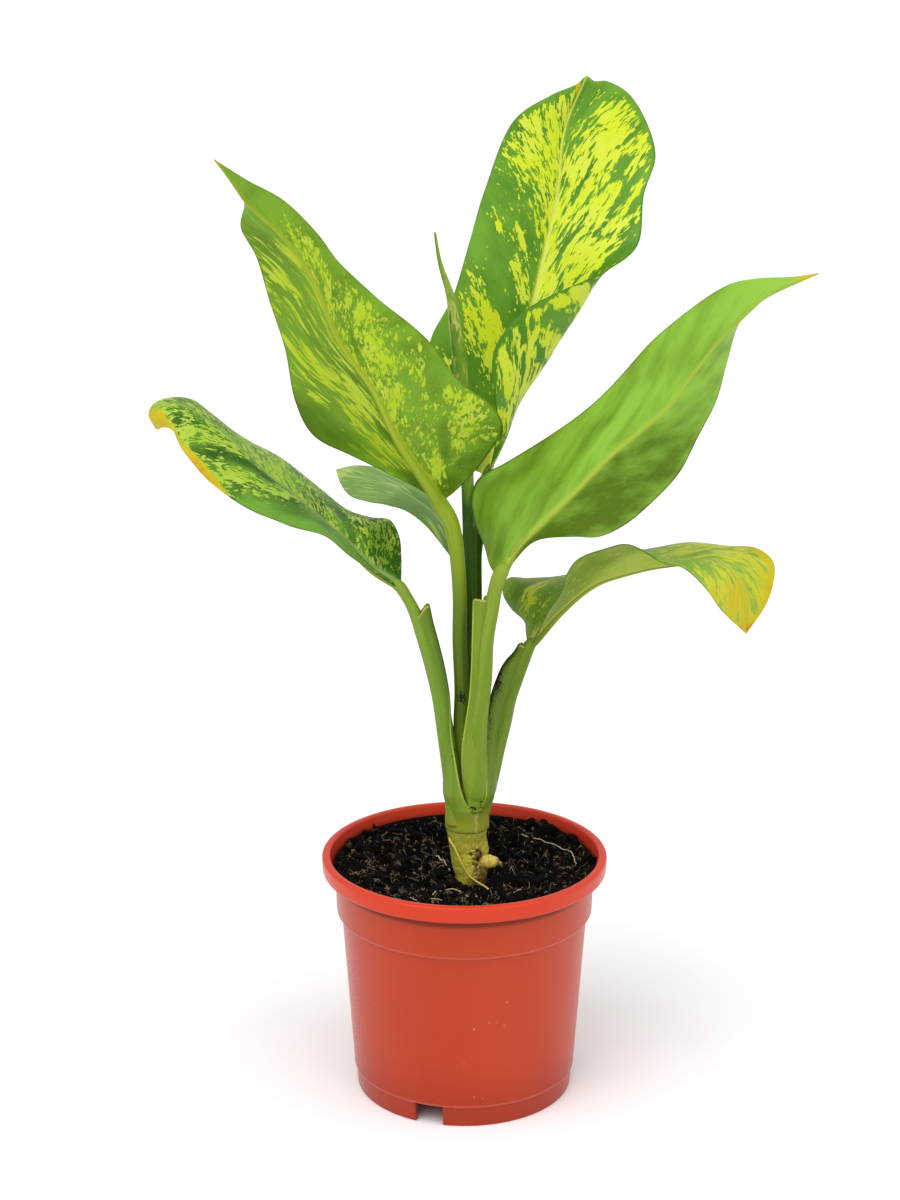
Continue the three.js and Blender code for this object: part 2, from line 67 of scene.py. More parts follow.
def smooth(value, low, high):
    """0 below low, 1 above high, and an even S between them."""
    share = np.clip((np.asarray(value, float) - low) / (high - low), 0, 1)
    return share * share * (3 - 2 * share)


def bell(value, width):
    """1 where value is 0, falling away on both sides over about width."""
    return np.exp(-((value / width) ** 2))


def turns(sides):
    """Even angles round a full turn."""
    return np.linspace(0, 2 * math.pi, sides, endpoint=False)


def heading(turn):
    """The flat direction at an angle from +X."""
    return np.array([math.cos(turn), math.sin(turn)])


def fields(*values):
    """Numbers or grids of numbers, joined as the last axis of one grid."""
    return np.stack(np.broadcast_arrays(*values), -1)


class Curve:
    """A smooth curve through its points, read by its share of length. What follows x, y and z
    in a point, such as a radius, is carried along."""

    SAMPLES = 800

    def __init__(self, points):
        p = np.asarray(points, float)
        spans = len(p) - 1
        p = np.vstack([2 * p[0] - p[1], p, 2 * p[-1] - p[-2]])
        knots = np.linalg.norm(np.diff(p[:, :3], axis=0), axis=1) ** 0.5
        along = np.linspace(0, spans, self.SAMPLES)
        i = np.minimum(along.astype(int), spans - 1)
        w = (along - i)[:, None]
        p0, p1, p2, p3 = (p[i + k] for k in range(4))
        d0, d1, d2 = (knots[i + k][:, None] for k in range(3))
        leave = ((p1 - p0) / d0 - (p2 - p0) / (d0 + d1) + (p2 - p1) / d1) * d1
        arrive = ((p2 - p1) / d1 - (p3 - p1) / (d1 + d2) + (p3 - p2) / d2) * d1
        square = 3 * (p2 - p1) - 2 * leave - arrive
        cube = 2 * (p1 - p2) + leave + arrive
        self.samples = p1 + leave * w + square * w**2 + cube * w**3
        steps = np.linalg.norm(np.diff(self.samples[:, :3], axis=0), axis=1)
        self.share = np.concatenate([[0], np.cumsum(steps)])
        self.length = self.share[-1]
        self.share /= self.length

    def at(self, u):
        return np.stack([np.interp(u, self.share, c) for c in self.samples.T], -1)

    def even(self, count):
        return self.at(np.linspace(0, 1, count))

    def tangent(self, u, step=0.004):
        ahead = self.at(np.minimum(u + step, 1))[..., :3]
        behind = self.at(np.maximum(u - step, 0))[..., :3]
        return unit(ahead - behind)


def new_mesh(name, points, faces):
    """A mesh from points in millimetres about the pot's axis."""
    mesh = bpy.data.meshes.new(name)
    mesh.from_pydata((np.asarray(points) * MM + POT_AXIS).tolist(), [], faces)
    return mesh


def placed(name, data):
    """A new object of the scene."""
    made = bpy.data.objects.new(name, data)
    bpy.context.scene.collection.objects.link(made)
    return made


def grid_faces(index):
    """Quads over a grid of point numbers."""
    corners = [index[:-1, :-1], index[:-1, 1:], index[1:, 1:], index[1:, :-1]]
    return np.stack(corners, -1).reshape(-1, 4)


class Shell:
    """Collects surfaces, in millimetres, into the mesh of one piece.

    "vein" holds the coordinates that a pattern follows, and "mark" three amounts that the
    material reads."""

    def __init__(self):
        self.points = []
        self.faces = []
        self.slots = []
        self.data = {"vein": [], "mark": []}
        self.count = 0

    def add(self, points, groups, slots=0, vein=(0, 0, 0), mark=(0, 0, 0)):
        """Adds groups of faces over points in any grid. slots is for all or for each group."""
        points = np.reshape(points, (-1, 3))
        for group, slot in zip(groups, np.broadcast_to(slots, len(groups)).tolist()):
            self.faces.extend((np.asarray(group) + self.count).tolist())
            self.slots.extend([slot] * len(group))
        for name, values in (("vein", vein), ("mark", mark)):
            self.data[name].append(np.zeros_like(points) + np.reshape(values, (-1, 3)))
        self.points.append(points)
        self.count += len(points)

    def sheet(self, top, bottom, slots, vein, mark):
        """A closed thin solid between two grids of the same size."""
        upper = np.arange(top[..., 0].size).reshape(top.shape[:2])
        lower = upper + upper.size
        rims = [
            np.stack([lower[:, 0], upper[:, 0]], 1),
            np.stack([upper[:, -1], lower[:, -1]], 1),
            np.stack([lower[0], upper[0]]),
            np.stack([upper[-1], lower[-1]]),
        ]
        groups = [grid_faces(index) for index in (upper, *rims, lower)]
        groups[-1] = groups[-1][:, ::-1]
        slots = [slots[0]] * (len(groups) - 1) + [slots[1]]
        self.add(np.stack([top, bottom]), groups, slots, np.stack([vein] * 2), np.stack([mark] * 2))

    def tube(self, rings, slot=0, vein=(0, 0, 0), mark=(0, 0, 0)):
        """A closed tube through rings of points, each ring anticlockwise seen from its end."""
        index = np.arange(rings[..., 0].size).reshape(rings.shape[:2])
        wall = grid_faces(np.hstack([index, index[:, :1]]))
        self.add(rings, [wall, index[:1, ::-1], index[-1:]], slot, vein, mark)

    def piece(self, name, node, slot, *materials):
        """The finished object, which rides on the one body and stands for its node."""
        mesh = new_mesh(name, np.concatenate(self.points), self.faces)
        for attribute, values in self.data.items():
            layer = mesh.attributes.new(attribute, "FLOAT_VECTOR", "POINT")
            layer.data.foreach_set("vector", np.concatenate(values).astype(np.float32).ravel())
        for material in materials:
            mesh.materials.append(material)
        mesh.polygons.foreach_set("material_index", self.slots)
        mesh.shade_smooth()
        mesh.validate()
        piece = placed(name, mesh)
        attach(piece, "root")
        if node:
            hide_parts(node)
        return piece


def carried_frames(path, first_side):
    """Side and front directions along a path, turned as little as the path allows."""
    tangent = unit(np.gradient(path, axis=0))
    side = np.empty_like(path)
    side[0] = first_side
    for i in range(len(path)):
        if i:
            side[i] = side[i - 1]
        side[i] -= tangent[i] * np.dot(side[i], tangent[i])
        side[i] /= np.linalg.norm(side[i])
    return side, np.cross(tangent, side)


def rings_along(spine, sides, profile=1.0, first_side=(1.0, 0.0, 0.0)):
    """Rings round a spine of x, y, z and radius. profile scales the radius round each ring."""
    path = spine[:, :3]
    side, front = carried_frames(path, np.array(first_side, float))
    reach = spine[:, 3:] * np.broadcast_to(profile, (len(path), sides))
    beside = side[:, None] * (reach * np.cos(turns(sides)))[..., None]
    return path[:, None] + beside + front[:, None] * (reach * np.sin(turns(sides)))[..., None]


def lump(points, size, seed):
    """Smooth noise from -1 to 1 at each of many points, with features of the given size."""
    flat = np.reshape(points, (-1, 3)) / size + seed
    values = [noise.noise(p) for p in flat.tolist()]
    return np.reshape(values, np.shape(points)[:-1])


# ------------------------------------------------------------------------------- materials
# Colours are given as they show, as sRGB from 0 to 255.

STUDIO_LIGHT = 1.2  # how much brighter than itself the studio shows a surface


def linear(red, green, blue):
    """The linear colour that shows as this sRGB colour in the studio's light."""
    share = np.array([red, green, blue]) / 255
    share = np.where(share > 0.04045, ((share + 0.055) / 1.055) ** 2.4, share / 12.92)
    return (*share / STUDIO_LIGHT, 1.0)


class Value:
    """What a node gives out. Adding to it or multiplying it makes the node for that."""

    def __init__(self, paint, socket):
        self.paint = paint
        self.socket = socket

    def __add__(self, other):
        return self.paint.math("ADD", self, other)

    def __mul__(self, other):
        return self.paint.math("MULTIPLY", self, other)


class Paint:
    """Builds the nodes of one material. Most calls add a node and return its value."""

    def __init__(self, name, **shader):
        self.material = bpy.data.materials.new(name)
        self.material.use_nodes = True
        self.tree = self.material.node_tree
        self.shader = self.tree.nodes["Principled BSDF"]
        for socket, value in shader.items():
            self.plug(self.shader.inputs[socket.replace("_", " ")], value)

    def plug(self, socket, value):
        if isinstance(value, Value):
            self.tree.links.new(value.socket, socket)
        else:
            socket.default_value = value

    def node(self, kind, inputs, output=0, **settings):
        node = self.tree.nodes.new(kind)
        for key, value in settings.items():
            setattr(node, key, value)
        for key, value in inputs.items():
            self.plug(node.inputs[key], value)
        return Value(self, node.outputs[output])

    def attribute(self, name):
        return self.node("ShaderNodeAttribute", {}, "Vector", attribute_name=name)

    def parts(self, vector):
        node = self.tree.nodes.new("ShaderNodeSeparateXYZ")
        self.plug(node.inputs[0], vector)
        return [Value(self, output) for output in node.outputs]

    def place(self):
        """Position on the piece, in millimetres."""
        return self.stretch(self.node("ShaderNodeTexCoord", {}, "Object"), (1 / MM,) * 3)

    def math(self, operation, a, b):
        return self.node("ShaderNodeMath", {0: a, 1: b}, operation=operation)

    def stretch(self, vector, scale, shift=(0.0, 0.0, 0.0)):
        inputs = {0: vector, 1: scale, 2: shift}
        return self.node("ShaderNodeVectorMath", inputs, operation="MULTIPLY_ADD")

    def counted(self, vector, size):
        """The vector counted in one size, or in a size for each axis, 1 for a third left out."""
        sizes = (size,) * 3 if np.isscalar(size) else (*size, 1)[:3]
        return self.stretch(vector, tuple(1 / length for length in sizes))

    def noise(self, vector, size, detail=2.0, roughness=0.5, distortion=0.0):
        """Noise from about -0.5 to 0.5, with features of the given size."""
        inputs = {"Vector": self.counted(vector, size), "Scale": 1.0, "Detail": detail}
        inputs.update({"Roughness": roughness, "Distortion": distortion})
        return self.node("ShaderNodeTexNoise", inputs, "Fac") + -0.5

    def cells(self, vector, size):
        """Distance from the nearest of many scattered points, about one in each size."""
        inputs = {"Vector": self.counted(vector, size), "Scale": 1.0}
        return self.node("ShaderNodeTexVoronoi", inputs, "Distance")

    def step(self, value, low, high):
        """0 at low, 1 at high, and an even S between them."""
        inputs = {"Value": value, "From Min": low, "From Max": high}
        settings = {"interpolation_type": "SMOOTHSTEP"}
        return self.node("ShaderNodeMapRange", inputs, "Result", **settings)

    def mix(self, share, a, b):
        """From colour a to colour b, by a share that is held between 0 and 1."""
        a, b = (c if isinstance(c, Value) else linear(*c) for c in (a, b))
        return self.node("ShaderNodeMix", {0: share, 6: a, 7: b}, 2, data_type="RGBA")

    def over(self, colour, *layers):
        """The colour under layers of share and colour, from the lowest up."""
        for share, layer in layers:
            colour = self.mix(share, colour, layer)
        return colour

    def finish(self, colour, roughness, height, depth, strength=1.0):
        """The material, with a relief that is depth millimetres deep."""
        inputs = {"Height": height, "Distance": depth * MM, "Strength": strength}
        self.plug(self.shader.inputs["Base Color"], colour)
        self.plug(self.shader.inputs["Roughness"], roughness)
        self.plug(self.shader.inputs["Normal"], self.node("ShaderNodeBump", inputs))
        return self.material


YELLOW_FEET = (130, 116)  # heights between which a stalk turns yellow downwards
POT_INSIDE_SHADE = (92, 94)  # heights between which the painted shade on the pot's inside begins
CREAM = (232, 238, 128)
DRY_YELLOW = (206, 190, 32)
ORANGE = (214, 140, 14)
RUST = (128, 66, 24)


def leaf_paint(name, look, green, dark, edge, fade):
    """One face of a blade. mark holds how yellow, how dark and how dried a place is, and vein
    runs across the side veins, along them, and gives how near the midrib is.

    edge is how soft a patch's outline is, and fade how far its yellow goes back to green."""
    paint = Paint(name, Specular_IOR_Level=0.16)
    vein = paint.attribute("vein")
    cover, shade, dry = paint.parts(paint.attribute("mark"))
    rib = paint.parts(vein)[2]
    flat = paint.stretch(vein, (1.0, 1.0, 0.0), (0.0, 0.0, look.seed))

    broad = paint.noise(flat, (5, 18), 2.0, 0.5, 0.3)
    middle = paint.noise(flat, (1.7, 6.5), 2.0, 0.6, 0.4)
    fine = paint.noise(flat, (0.7, 3.6), 2.0, 0.6, 0.2)
    cloud = paint.noise(flat, (9, 20), 3.0)
    field = cover + broad * 0.5 + middle * 1.15 + fine * look.fine
    patch = paint.step(field, 0.5 - edge, 0.5 + edge)
    dots = paint.cells(flat, (2.1, 3.6)) + middle * -0.9
    freckles = paint.step(dots, 0.2, 0.1) * paint.step(cover, 0.0, 0.12)
    patch = paint.math("MAXIMUM", patch, freckles * look.freckles)

    tone = shade + 0.1 + cloud + cloud + fine * 0.3 + middle * 0.5
    ground = paint.mix(tone, green, dark)
    sunny = (cloud + 0.05 + middle * 0.6) * (1 - fade)
    bright = paint.over(
        paint.mix(sunny, look.yellow, CREAM),
        (fade, ground),
        # Where a place is darkest its yellow darkens too: this carries the painted shade on the lower
        # left leaf's base lobe and the new leaf's foot, and the darkest marks of the pattern.
        (paint.step(shade, 0.7, 1.4) * 0.6, dark),
    )
    uneven = middle * 0.4 + broad * 0.3
    dried = dry + uneven * paint.step(dry, 0.0, 0.15)
    colour = paint.over(
        ground,
        (patch, bright),
        (rib, look.rib_colour),
        (paint.step(dried, 0.22, 0.42), DRY_YELLOW),
        (paint.step(dried, 0.5, 0.8), ORANGE),
        (paint.step(dried, 0.85, 1.1), RUST),
    )
    pores = paint.noise(flat, (1 / 2.2, 1 / 1.6), 2.0, 0.6)
    lines = paint.noise(flat, (1.6, 60), 1.0)
    height = pores * 0.2 + lines * 0.9 + fine * 0.3
    return paint.finish(colour, pores * 0.2 + 0.42, height, 0.12, 0.6)


def stalk_paint(name, green, pale, dark):
    """Leaf stalks and sheaths: fine lines run along them. mark holds how pale, how dark and how
    withered a place is, or below zero how dirty, and vein runs round, along and gives height."""
    paint = Paint(name, Specular_IOR_Level=0.16)
    vein = paint.attribute("vein")
    lightness, darkness, withered = paint.parts(paint.attribute("mark"))
    height = paint.parts(vein)[2]
    flat = paint.stretch(vein, (1.0, 1.0, 0.0))
    lines = paint.noise(flat, (0.7, 38), 2.0, 0.6)
    bands = paint.noise(flat, (3, 50))
    spots = paint.noise(flat, (1.2, 2.2), 3.0, 0.6)
    specks = paint.noise(flat, (0.8, 1.2), 1.0)
    low = paint.step(height + spots * 9.0 + bands * 14.0, *YELLOW_FEET)
    dots = paint.step(paint.cells(flat, (1.9, 2.6)), 0.12, 0.06)
    worn = withered + spots * 0.6
    grime = withered * -1.0 + specks * 1.5
    colour = paint.over(
        paint.mix(lightness + bands + lines * 0.7 + spots * 0.3, green, pale),
        (darkness + lines * 0.4 + bands * 0.5, dark),
        (low * 0.65, (172, 168, 48)),
        (dots * 0.35, (198, 204, 110)),
        (paint.step(worn, 0.3, 0.6), (196, 180, 100)),
        (paint.step(worn, 0.7, 0.95), (112, 76, 36)),
        (paint.step(grime, 0.58, 0.72), (34, 30, 12)),
    )
    return paint.finish(colour, spots * 0.15 + 0.38, lines * 0.8 + spots * 0.25, 0.12, 0.5)


def pot_paint():
    """Moulded plastic with a redder rim and scuffs; painted shade at the foot and inside, painted
    highlights along the ledge and foot lines.
    """
    warm = (1.0, 0.72, 0.52, 1.0)
    paint = Paint("terracotta_plastic", Specular_IOR_Level=0.3, Specular_Tint=warm)
    place = paint.place()
    height = paint.parts(place)[2]
    centred = paint.stretch(place, (1.0, 1.0, 0.0), tuple(-POT_AXIS / MM))
    radius = paint.node("ShaderNodeVectorMath", {0: centred}, "Value", operation="LENGTH")
    grain = paint.noise(place, 1 / 1.4, 2.0, 0.6)
    drift = paint.noise(place, (1 / 0.026, 1 / 0.026, 1 / 0.007), 3.0)
    rim = paint.step(height, POT_HEIGHT - 9, POT_HEIGHT - 6)
    # Painted shade: the colour darkens towards the foot, where less light falls.
    foot = paint.step(height + drift * 20.0, 32, 0)
    colour = paint.over(
        paint.mix(drift + 0.45 + grain * 0.12, (190, 59, 36), (206, 75, 47)),
        (rim * 0.6, (238, 66, 42)),
        (foot * 0.6, (158, 46, 28)),
    )
    # Painted highlights: paler lines along the ledge and along the foot line.
    for line, pale in ((POT.ledge + 0.2, 0.5), (POT.foot_line - 0.2, 0.3)):
        below = paint.step(height, line - 0.9, line - 0.2)
        above = paint.step(height, line + 0.9, line + 0.2)
        colour = paint.mix(below * above * pale, colour, (236, 132, 104))
    # Painted shade: the inside wall below the rim turns darker red.
    inner = paint.step(radius, POT.mouth + 0.2, POT.mouth - 0.7)
    inner = inner * paint.step(height, *POT_INSIDE_SHADE)
    rare = paint.step(paint.noise(place, 1 / 0.06), 0.12, 0.2)
    scuffs = paint.step(paint.cells(place, (1 / 0.26, 1 / 0.26, 1 / 0.17)), 0.14, 0.07) * rare
    colour = paint.over(
        colour,
        (inner * 0.8, (112, 30, 18)),
        (scuffs * 0.6, (238, 178, 160)),
    )
    rough = drift * 0.16 + 0.3 + grain * 0.06
    return paint.finish(colour, rough, grain * 0.4 + drift * 3.0, 0.03, 0.6)


def compost_paint():
    """Black compost with paler bits. The first mark is how pale a crumb is."""
    paint = Paint("compost", Specular_IOR_Level=0.12)
    place = paint.place()
    paleness = paint.parts(paint.attribute("mark"))[0]
    coarse = paint.noise(place, 1 / 0.42, 4.0, 0.65)
    fine = paint.noise(place, 1 / 1.9, 3.0, 0.7)
    field = coarse + 0.18 + fine * 0.8 + paleness * 0.8
    colour = paint.over(
        paint.mix(paint.step(field, 0.36, 0.95), (7, 4, 1), (112, 90, 70)),
        (paint.step(field + fine * 0.9, 0.66, 0.85), (160, 132, 104)),
    )
    return paint.finish(colour, 0.85, coarse + fine, 0.9, 0.9)


def fibre_paint():
    """Dead fibre, patchy from brown to straw."""
    paint = Paint("fibre", Specular_IOR_Level=0.3)
    patchy = paint.noise(paint.place(), 1 / 0.3, 3.0)
    colour = paint.mix(patchy + 0.42 + patchy, (62, 44, 30), (200, 170, 134))
    return paint.finish(colour, 0.7, patchy, 0.2)


def root_paint():
    """Live root, patchy in two pale tones."""
    paint = Paint("root", Specular_IOR_Level=0.35)
    patchy = paint.noise(paint.place(), 1 / 0.2, 3.0)
    colour = paint.mix(patchy + 0.5 + patchy, (188, 168, 120), (232, 220, 186))
    return paint.finish(colour, 0.55, patchy, 0.1)


def cane_paint():
    """Green above the ring scar, yellow olive below it. mark holds how green, how scarred and
    how withered a place is, and vein runs round and along."""
    paint = Paint("cane", Specular_IOR_Level=0.35)
    flat = paint.stretch(paint.attribute("vein"), (1.0, 1.0, 0.0))
    greenness, scar, withered = paint.parts(paint.attribute("mark"))
    mottle = paint.noise(flat, (4, 5), 4.0, 0.6)
    lines = paint.noise(flat, (0.8, 12), 3.0, 0.6)
    spots = paint.noise(flat, (1.1, 1.1), 3.0, 0.65)
    olive = paint.mix(mottle + 0.45 + lines * 0.4, (172, 166, 38), (216, 210, 80))
    green = paint.mix(mottle + 0.4 + lines, (92, 140, 40), (140, 176, 62))
    worn = withered + spots * 0.7
    dots = paint.step(paint.cells(flat, (1.5, 1.9)), 0.36, 0.16)
    dots = dots * paint.step(mottle + scar, -0.1, 0.2)
    pits = scar + spots * 1.1
    colour = paint.over(
        olive,
        (greenness + mottle * 0.7, green),
        (paint.step(worn, 0.35, 0.65), (226, 200, 88)),
        (dots * 0.6, (116, 92, 34)),
        (paint.step(pits, 0.5, 0.8), (122, 84, 44)),
        (paint.step(pits, 0.8, 1.0), (40, 28, 20)),
    )
    return paint.finish(colour, 0.5, lines + mottle + spots * 0.8, 0.25, 0.8)


# -------------------------------------------------------------------------------- the pot

# In millimetres, but for the counts, and the first notch in degrees from +X.
POT = SimpleNamespace(
    band=7,
    mouth=55.8,
    collar=54.4,
    collar_foot=53.8,
    ledge=78.6,
    ledge_rise=1.2,
    wall_top=51.7,
    wall_foot=46.9,
    foot_line=9.6,
    foot_top=46.1,
    foot=45.6,
    wall=1.7,
    floor=9,
    foot_ring=2.4,
    notch_width=12,
    notches=3,
    first_notch=251.3,
    hole_radius=4,
    hole_circle=30,
    holes=6,
)
POT_SIDES = 240


def rounded(corners, steps=5):
    """A closed outline of (r, z, rounding) corners, each rounded by a quadratic arc."""
    outline = []
    for i, (r, z, reach) in enumerate(corners):
        here = np.array([r, z], float)
        if reach == 0:
            outline.append(here)
            continue
        before = np.array(corners[i - 1][:2], float)
        after = np.array(corners[(i + 1) % len(corners)][:2], float)
        enter = here + unit(before - here) * min(reach, np.linalg.norm(before - here) / 2)
        leave = here + unit(after - here) * min(reach, np.linalg.norm(after - here) / 2)
        for t in np.linspace(0, 1, steps):
            outline.append(enter * (1 - t) ** 2 + here * 2 * t * (1 - t) + leave * t**2)
    return np.array(outline)


def pot_outline():
    """The wall's section from the middle of the floor's underside, round the rim and back."""
    p = POT
    band_foot = POT_HEIGHT - p.band
    ledge_low = p.ledge - p.ledge_rise / 2
    ledge_high = p.ledge + p.ledge_rise / 2
    floor_top = p.floor + p.wall
    ring_inside = p.foot - p.foot_ring
    return rounded(
        [
            (0.01, p.floor, 0),
            (ring_inside, p.floor, 1.0),
            (ring_inside, 0, 0.6),
            (p.foot, 0, 0.9),
            (p.foot_top, p.foot_line - 0.9, 0.3),
            (p.wall_foot + 0.1, p.foot_line - 0.3, 0.5),
            (p.wall_foot + 0.05, p.foot_line + 1.0, 0.8),
            (p.wall_top, ledge_low, 0.5),
            (p.collar_foot, ledge_high, 0.9),
            (p.collar, band_foot - 0.8, 0.8),
            (RIM_RADIUS - 0.5, band_foot, 1.1),
            (RIM_RADIUS - 0.05, POT_HEIGHT - 0.6, 1.6),
            (RIM_RADIUS - 1.3, POT_HEIGHT, 1.2),
            (p.mouth + 0.6, POT_HEIGHT, 1.0),
            (p.mouth - 0.5, band_foot + 1.2, 1.2),
            (p.collar - p.wall, band_foot - p.wall, 1.5),
            (p.collar_foot - p.wall, ledge_high + p.wall / 2, 0.6),
            (p.wall_top - p.wall, ledge_low + p.wall / 2, 0.6),
            (p.wall_foot - p.wall, floor_top, 1.5),
            (0.01, floor_top, 0),
        ]
    )


def turned(radius, height, angle):
    """Rings of points at each radius and height."""
    return fields(radius * np.cos(angle), radius * np.sin(angle), height)


def cut_away(piece, outline, low, high):
    """Cuts an upright prism, over an anticlockwise outline of x and y, out of a piece."""
    count = len(outline)
    points = [(*p, low) for p in outline] + [(*p, high) for p in outline]
    sides = [(i, (i + 1) % count, (i + 1) % count + count, i + count) for i in range(count)]
    ends = [tuple(range(count))[::-1], tuple(range(count, 2 * count))]
    prism = placed("prism", new_mesh("prism", points, [*ends, *sides]))
    cut = piece.modifiers.new("cut", "BOOLEAN")
    cut.operation = "DIFFERENCE"
    cut.solver = "EXACT"
    cut.object = prism
    bpy.context.view_layer.objects.active = piece
    bpy.ops.object.modifier_apply(modifier=cut.name)
    bpy.data.objects.remove(prism)


def build_pot():
    """The pot turned from its section, with its notches and drainage holes cut out."""
    outline = pot_outline()
    shell = Shell()
    shell.tube(turned(outline[:, :1], outline[:, 1:], turns(POT_SIDES)))
    pot = shell.piece("nursery_pot", "pot", "pot_plastic", pot_paint())
    for i in range(POT.notches):
        out = heading(math.radians(POT.first_notch + i * 360 / POT.notches))
        side = np.array([-out[1], out[0]]) * POT.notch_width / 2
        corners = ((-1, -1), (1, -1), (1, 1), (-1, 1))
        notch = [out * (POT.foot + 5 * a) + side * b for a, b in corners]
        cut_away(pot, notch, -2, POT.floor)
    for turn in turns(POT.holes):
        circle = [POT.hole_circle * heading(turn) + POT.hole_radius * heading(t) for t in turns(24)]
        cut_away(pot, circle, POT.floor - 3, POT.floor + 5)


# ---------------------------------------------------------------------------- the compost

SOIL_EDGE = 98.9  # the compost's height at the pot's wall, without its crumbs
SOIL_MIDDLE = 91.0
SOIL_RADIUS = POT.mouth - 1.7
SOIL_RINGS = 170
SOIL_SIDES = 520
SOIL_DIP = (24, 4, 9, -3.2)  # x, y, spread and rise: the hollow beside the cane
SOIL_HUMP = (17.8, -8.6, 6.0, 10.5)  # the little heap over the side root


def soil_height(x, y):
    """Height of the compost's top before its crumbs, dished towards the cane."""
    radius = np.hypot(x, y) / SOIL_RADIUS
    height = SOIL_MIDDLE + (SOIL_EDGE - SOIL_MIDDLE) * np.minimum(radius, 1) ** 1.5
    for middle_x, middle_y, spread, rise in (SOIL_DIP, SOIL_HUMP):
        height = height + rise * bell(np.hypot(x - middle_x, y - middle_y), spread)
    return height


def soil_relief(x, y):
    """The crumbly top: lumps of three sizes over the dish."""
    flat = fields(x, y, 0)
    fade = smooth(SOIL_RADIUS - np.hypot(x, y), 0, 3)
    rough = 1.9 * lump(flat, 9, 3.1) + 1.9 * lump(flat, 3.8, 8.2) + 1.1 * lump(flat, 1.4, 5.7)
    return soil_height(x, y) + 0.9 + fade * (rough - 1.7)


def build_compost():
    """The filling: a plain skirt inside the pot's wall, and a crumbly top."""
    angle = turns(SOIL_SIDES)
    radius = SOIL_RADIUS * np.linspace(1, 0.001, SOIL_RINGS)[:, None]
    top = turned(radius, soil_relief(radius * np.cos(angle), radius * np.sin(angle)), angle)
    wall = POT.wall + 0.3
    skirt = np.array(
        [
            (0.01, POT.floor + wall),
            (POT.wall_foot - wall, POT.floor + wall),
            (POT.wall_top - wall, POT.ledge),
            (POT.collar - wall, POT_HEIGHT - POT.band - wall),
        ]
    )
    shell = Shell()
    shell.tube(np.concatenate([turned(skirt[:, :1], skirt[:, 1:], angle), top]))
    shell.piece("compost_bed", "compost", "compost", compost_paint())


def ball():
    """The corners and faces of a ball of few faces, an icosahedron."""
    gold = (1 + 5**0.5) / 2
    corners = []
    for a in (-1, 1):
        for b in (-gold, gold):
            corners += [(0, a, b), (a, b, 0), (b, 0, a)]
    points = unit(np.array(corners, float))
    faces = []
    for i, j, k in combinations(range(12), 3):
        a, b, c = points[[i, j, k]]
        if max(np.linalg.norm([a - b, b - c, c - a], axis=1)) < 1.2:
            outward = np.dot(np.cross(b - a, c - a), a) > 0
            faces.append((i, j, k) if outward else (i, k, j))
    return points, np.array(faces)


def split(points, faces):
    """The same ball with each face cut in four."""
    points, middles, cut = list(points), {}, []

    def middle(a, b):
        key = (min(a, b), max(a, b))
        if key not in middles:
            middles[key] = len(points)
            points.append(unit(points[a] + points[b]))
        return middles[key]

    for a, b, c in faces:
        ab, bc, ca = middle(a, b), middle(b, c), middle(c, a)
        cut += [(a, ab, ca), (b, bc, ab), (c, ca, bc), (ab, bc, ca)]
    return np.array(points), np.array(cut)


def spot_on_bed(reach):
    """A random x and y on the compost, within a share of its radius."""
    radius = SOIL_RADIUS * math.sqrt(random.random()) * reach
    return radius * heading(random.uniform(0, 2 * math.pi))


def build_crumbs(count=5200):
    """Loose crumbs of compost over the bed, from dust to clods of 5 mm, the small ones paler."""
    small = ball()
    large = split(*small)
    shell = Shell()
    for _ in range(count):
        spot = spot_on_bed(0.985)
        size = 0.28 + 1.7 * random.random() ** 6
        points, faces = large if size > 0.7 else small
        stretch = size * random.uniform(0.35, 1.6, 3)
        uneven = 1 + random.uniform(-0.45, 0.45, len(points))
        axes = np.linalg.qr(random.normal(size=(3, 3)))[0]
        axes *= np.sign(np.linalg.det(axes))
        sink = random.uniform(-0.1, 0.8) * size
        middle = (*spot, float(soil_relief(*spot[:, None])[0]) + sink)
        paleness = random.random() ** 2 * min(1, 0.75 / size) ** 1.5
        turned_points = (points * uneven[:, None] * stretch) @ axes.T
        shell.add(turned_points + middle, [faces], mark=(paleness, 0, 0))
    shell.piece("compost_crumbs", None, "compost", compost_paint())


def build_fibres(count=560, steps=7):
    """Short bits of bark fibre and dead root that lie in the compost."""
    shell = Shell()
    for _ in range(count):
        flat = [spot_on_bed(0.93)]
        way = random.uniform(0, 2 * math.pi)
        length = random.uniform(1.5, 7)
        thick = random.uniform(0.05, 0.12)
        bend = random.uniform(-0.25, 0.25)
        for _ in range(steps):
            way += bend
            flat.append(flat[-1] + length / steps * heading(way))
        flat = np.array(flat)
        away = np.maximum(np.linalg.norm(flat, axis=1), 1)
        flat *= np.minimum(1, 0.97 * SOIL_RADIUS / away)[:, None]
        arch = random.uniform(0.2, 1.8) * np.sin(np.linspace(0, math.pi, steps + 1))
        z = soil_relief(*flat.T) + 0.4 + arch
        taper = thick * (1.15 - np.linspace(-1, 1, steps + 1) ** 2)
        spine = np.column_stack([flat, z, taper])
        shell.tube(rings_along(spine, 5, first_side=(0.3, 0.2, 0.9)))
    shell.piece("compost_fibres", None, "compost", fibre_paint())


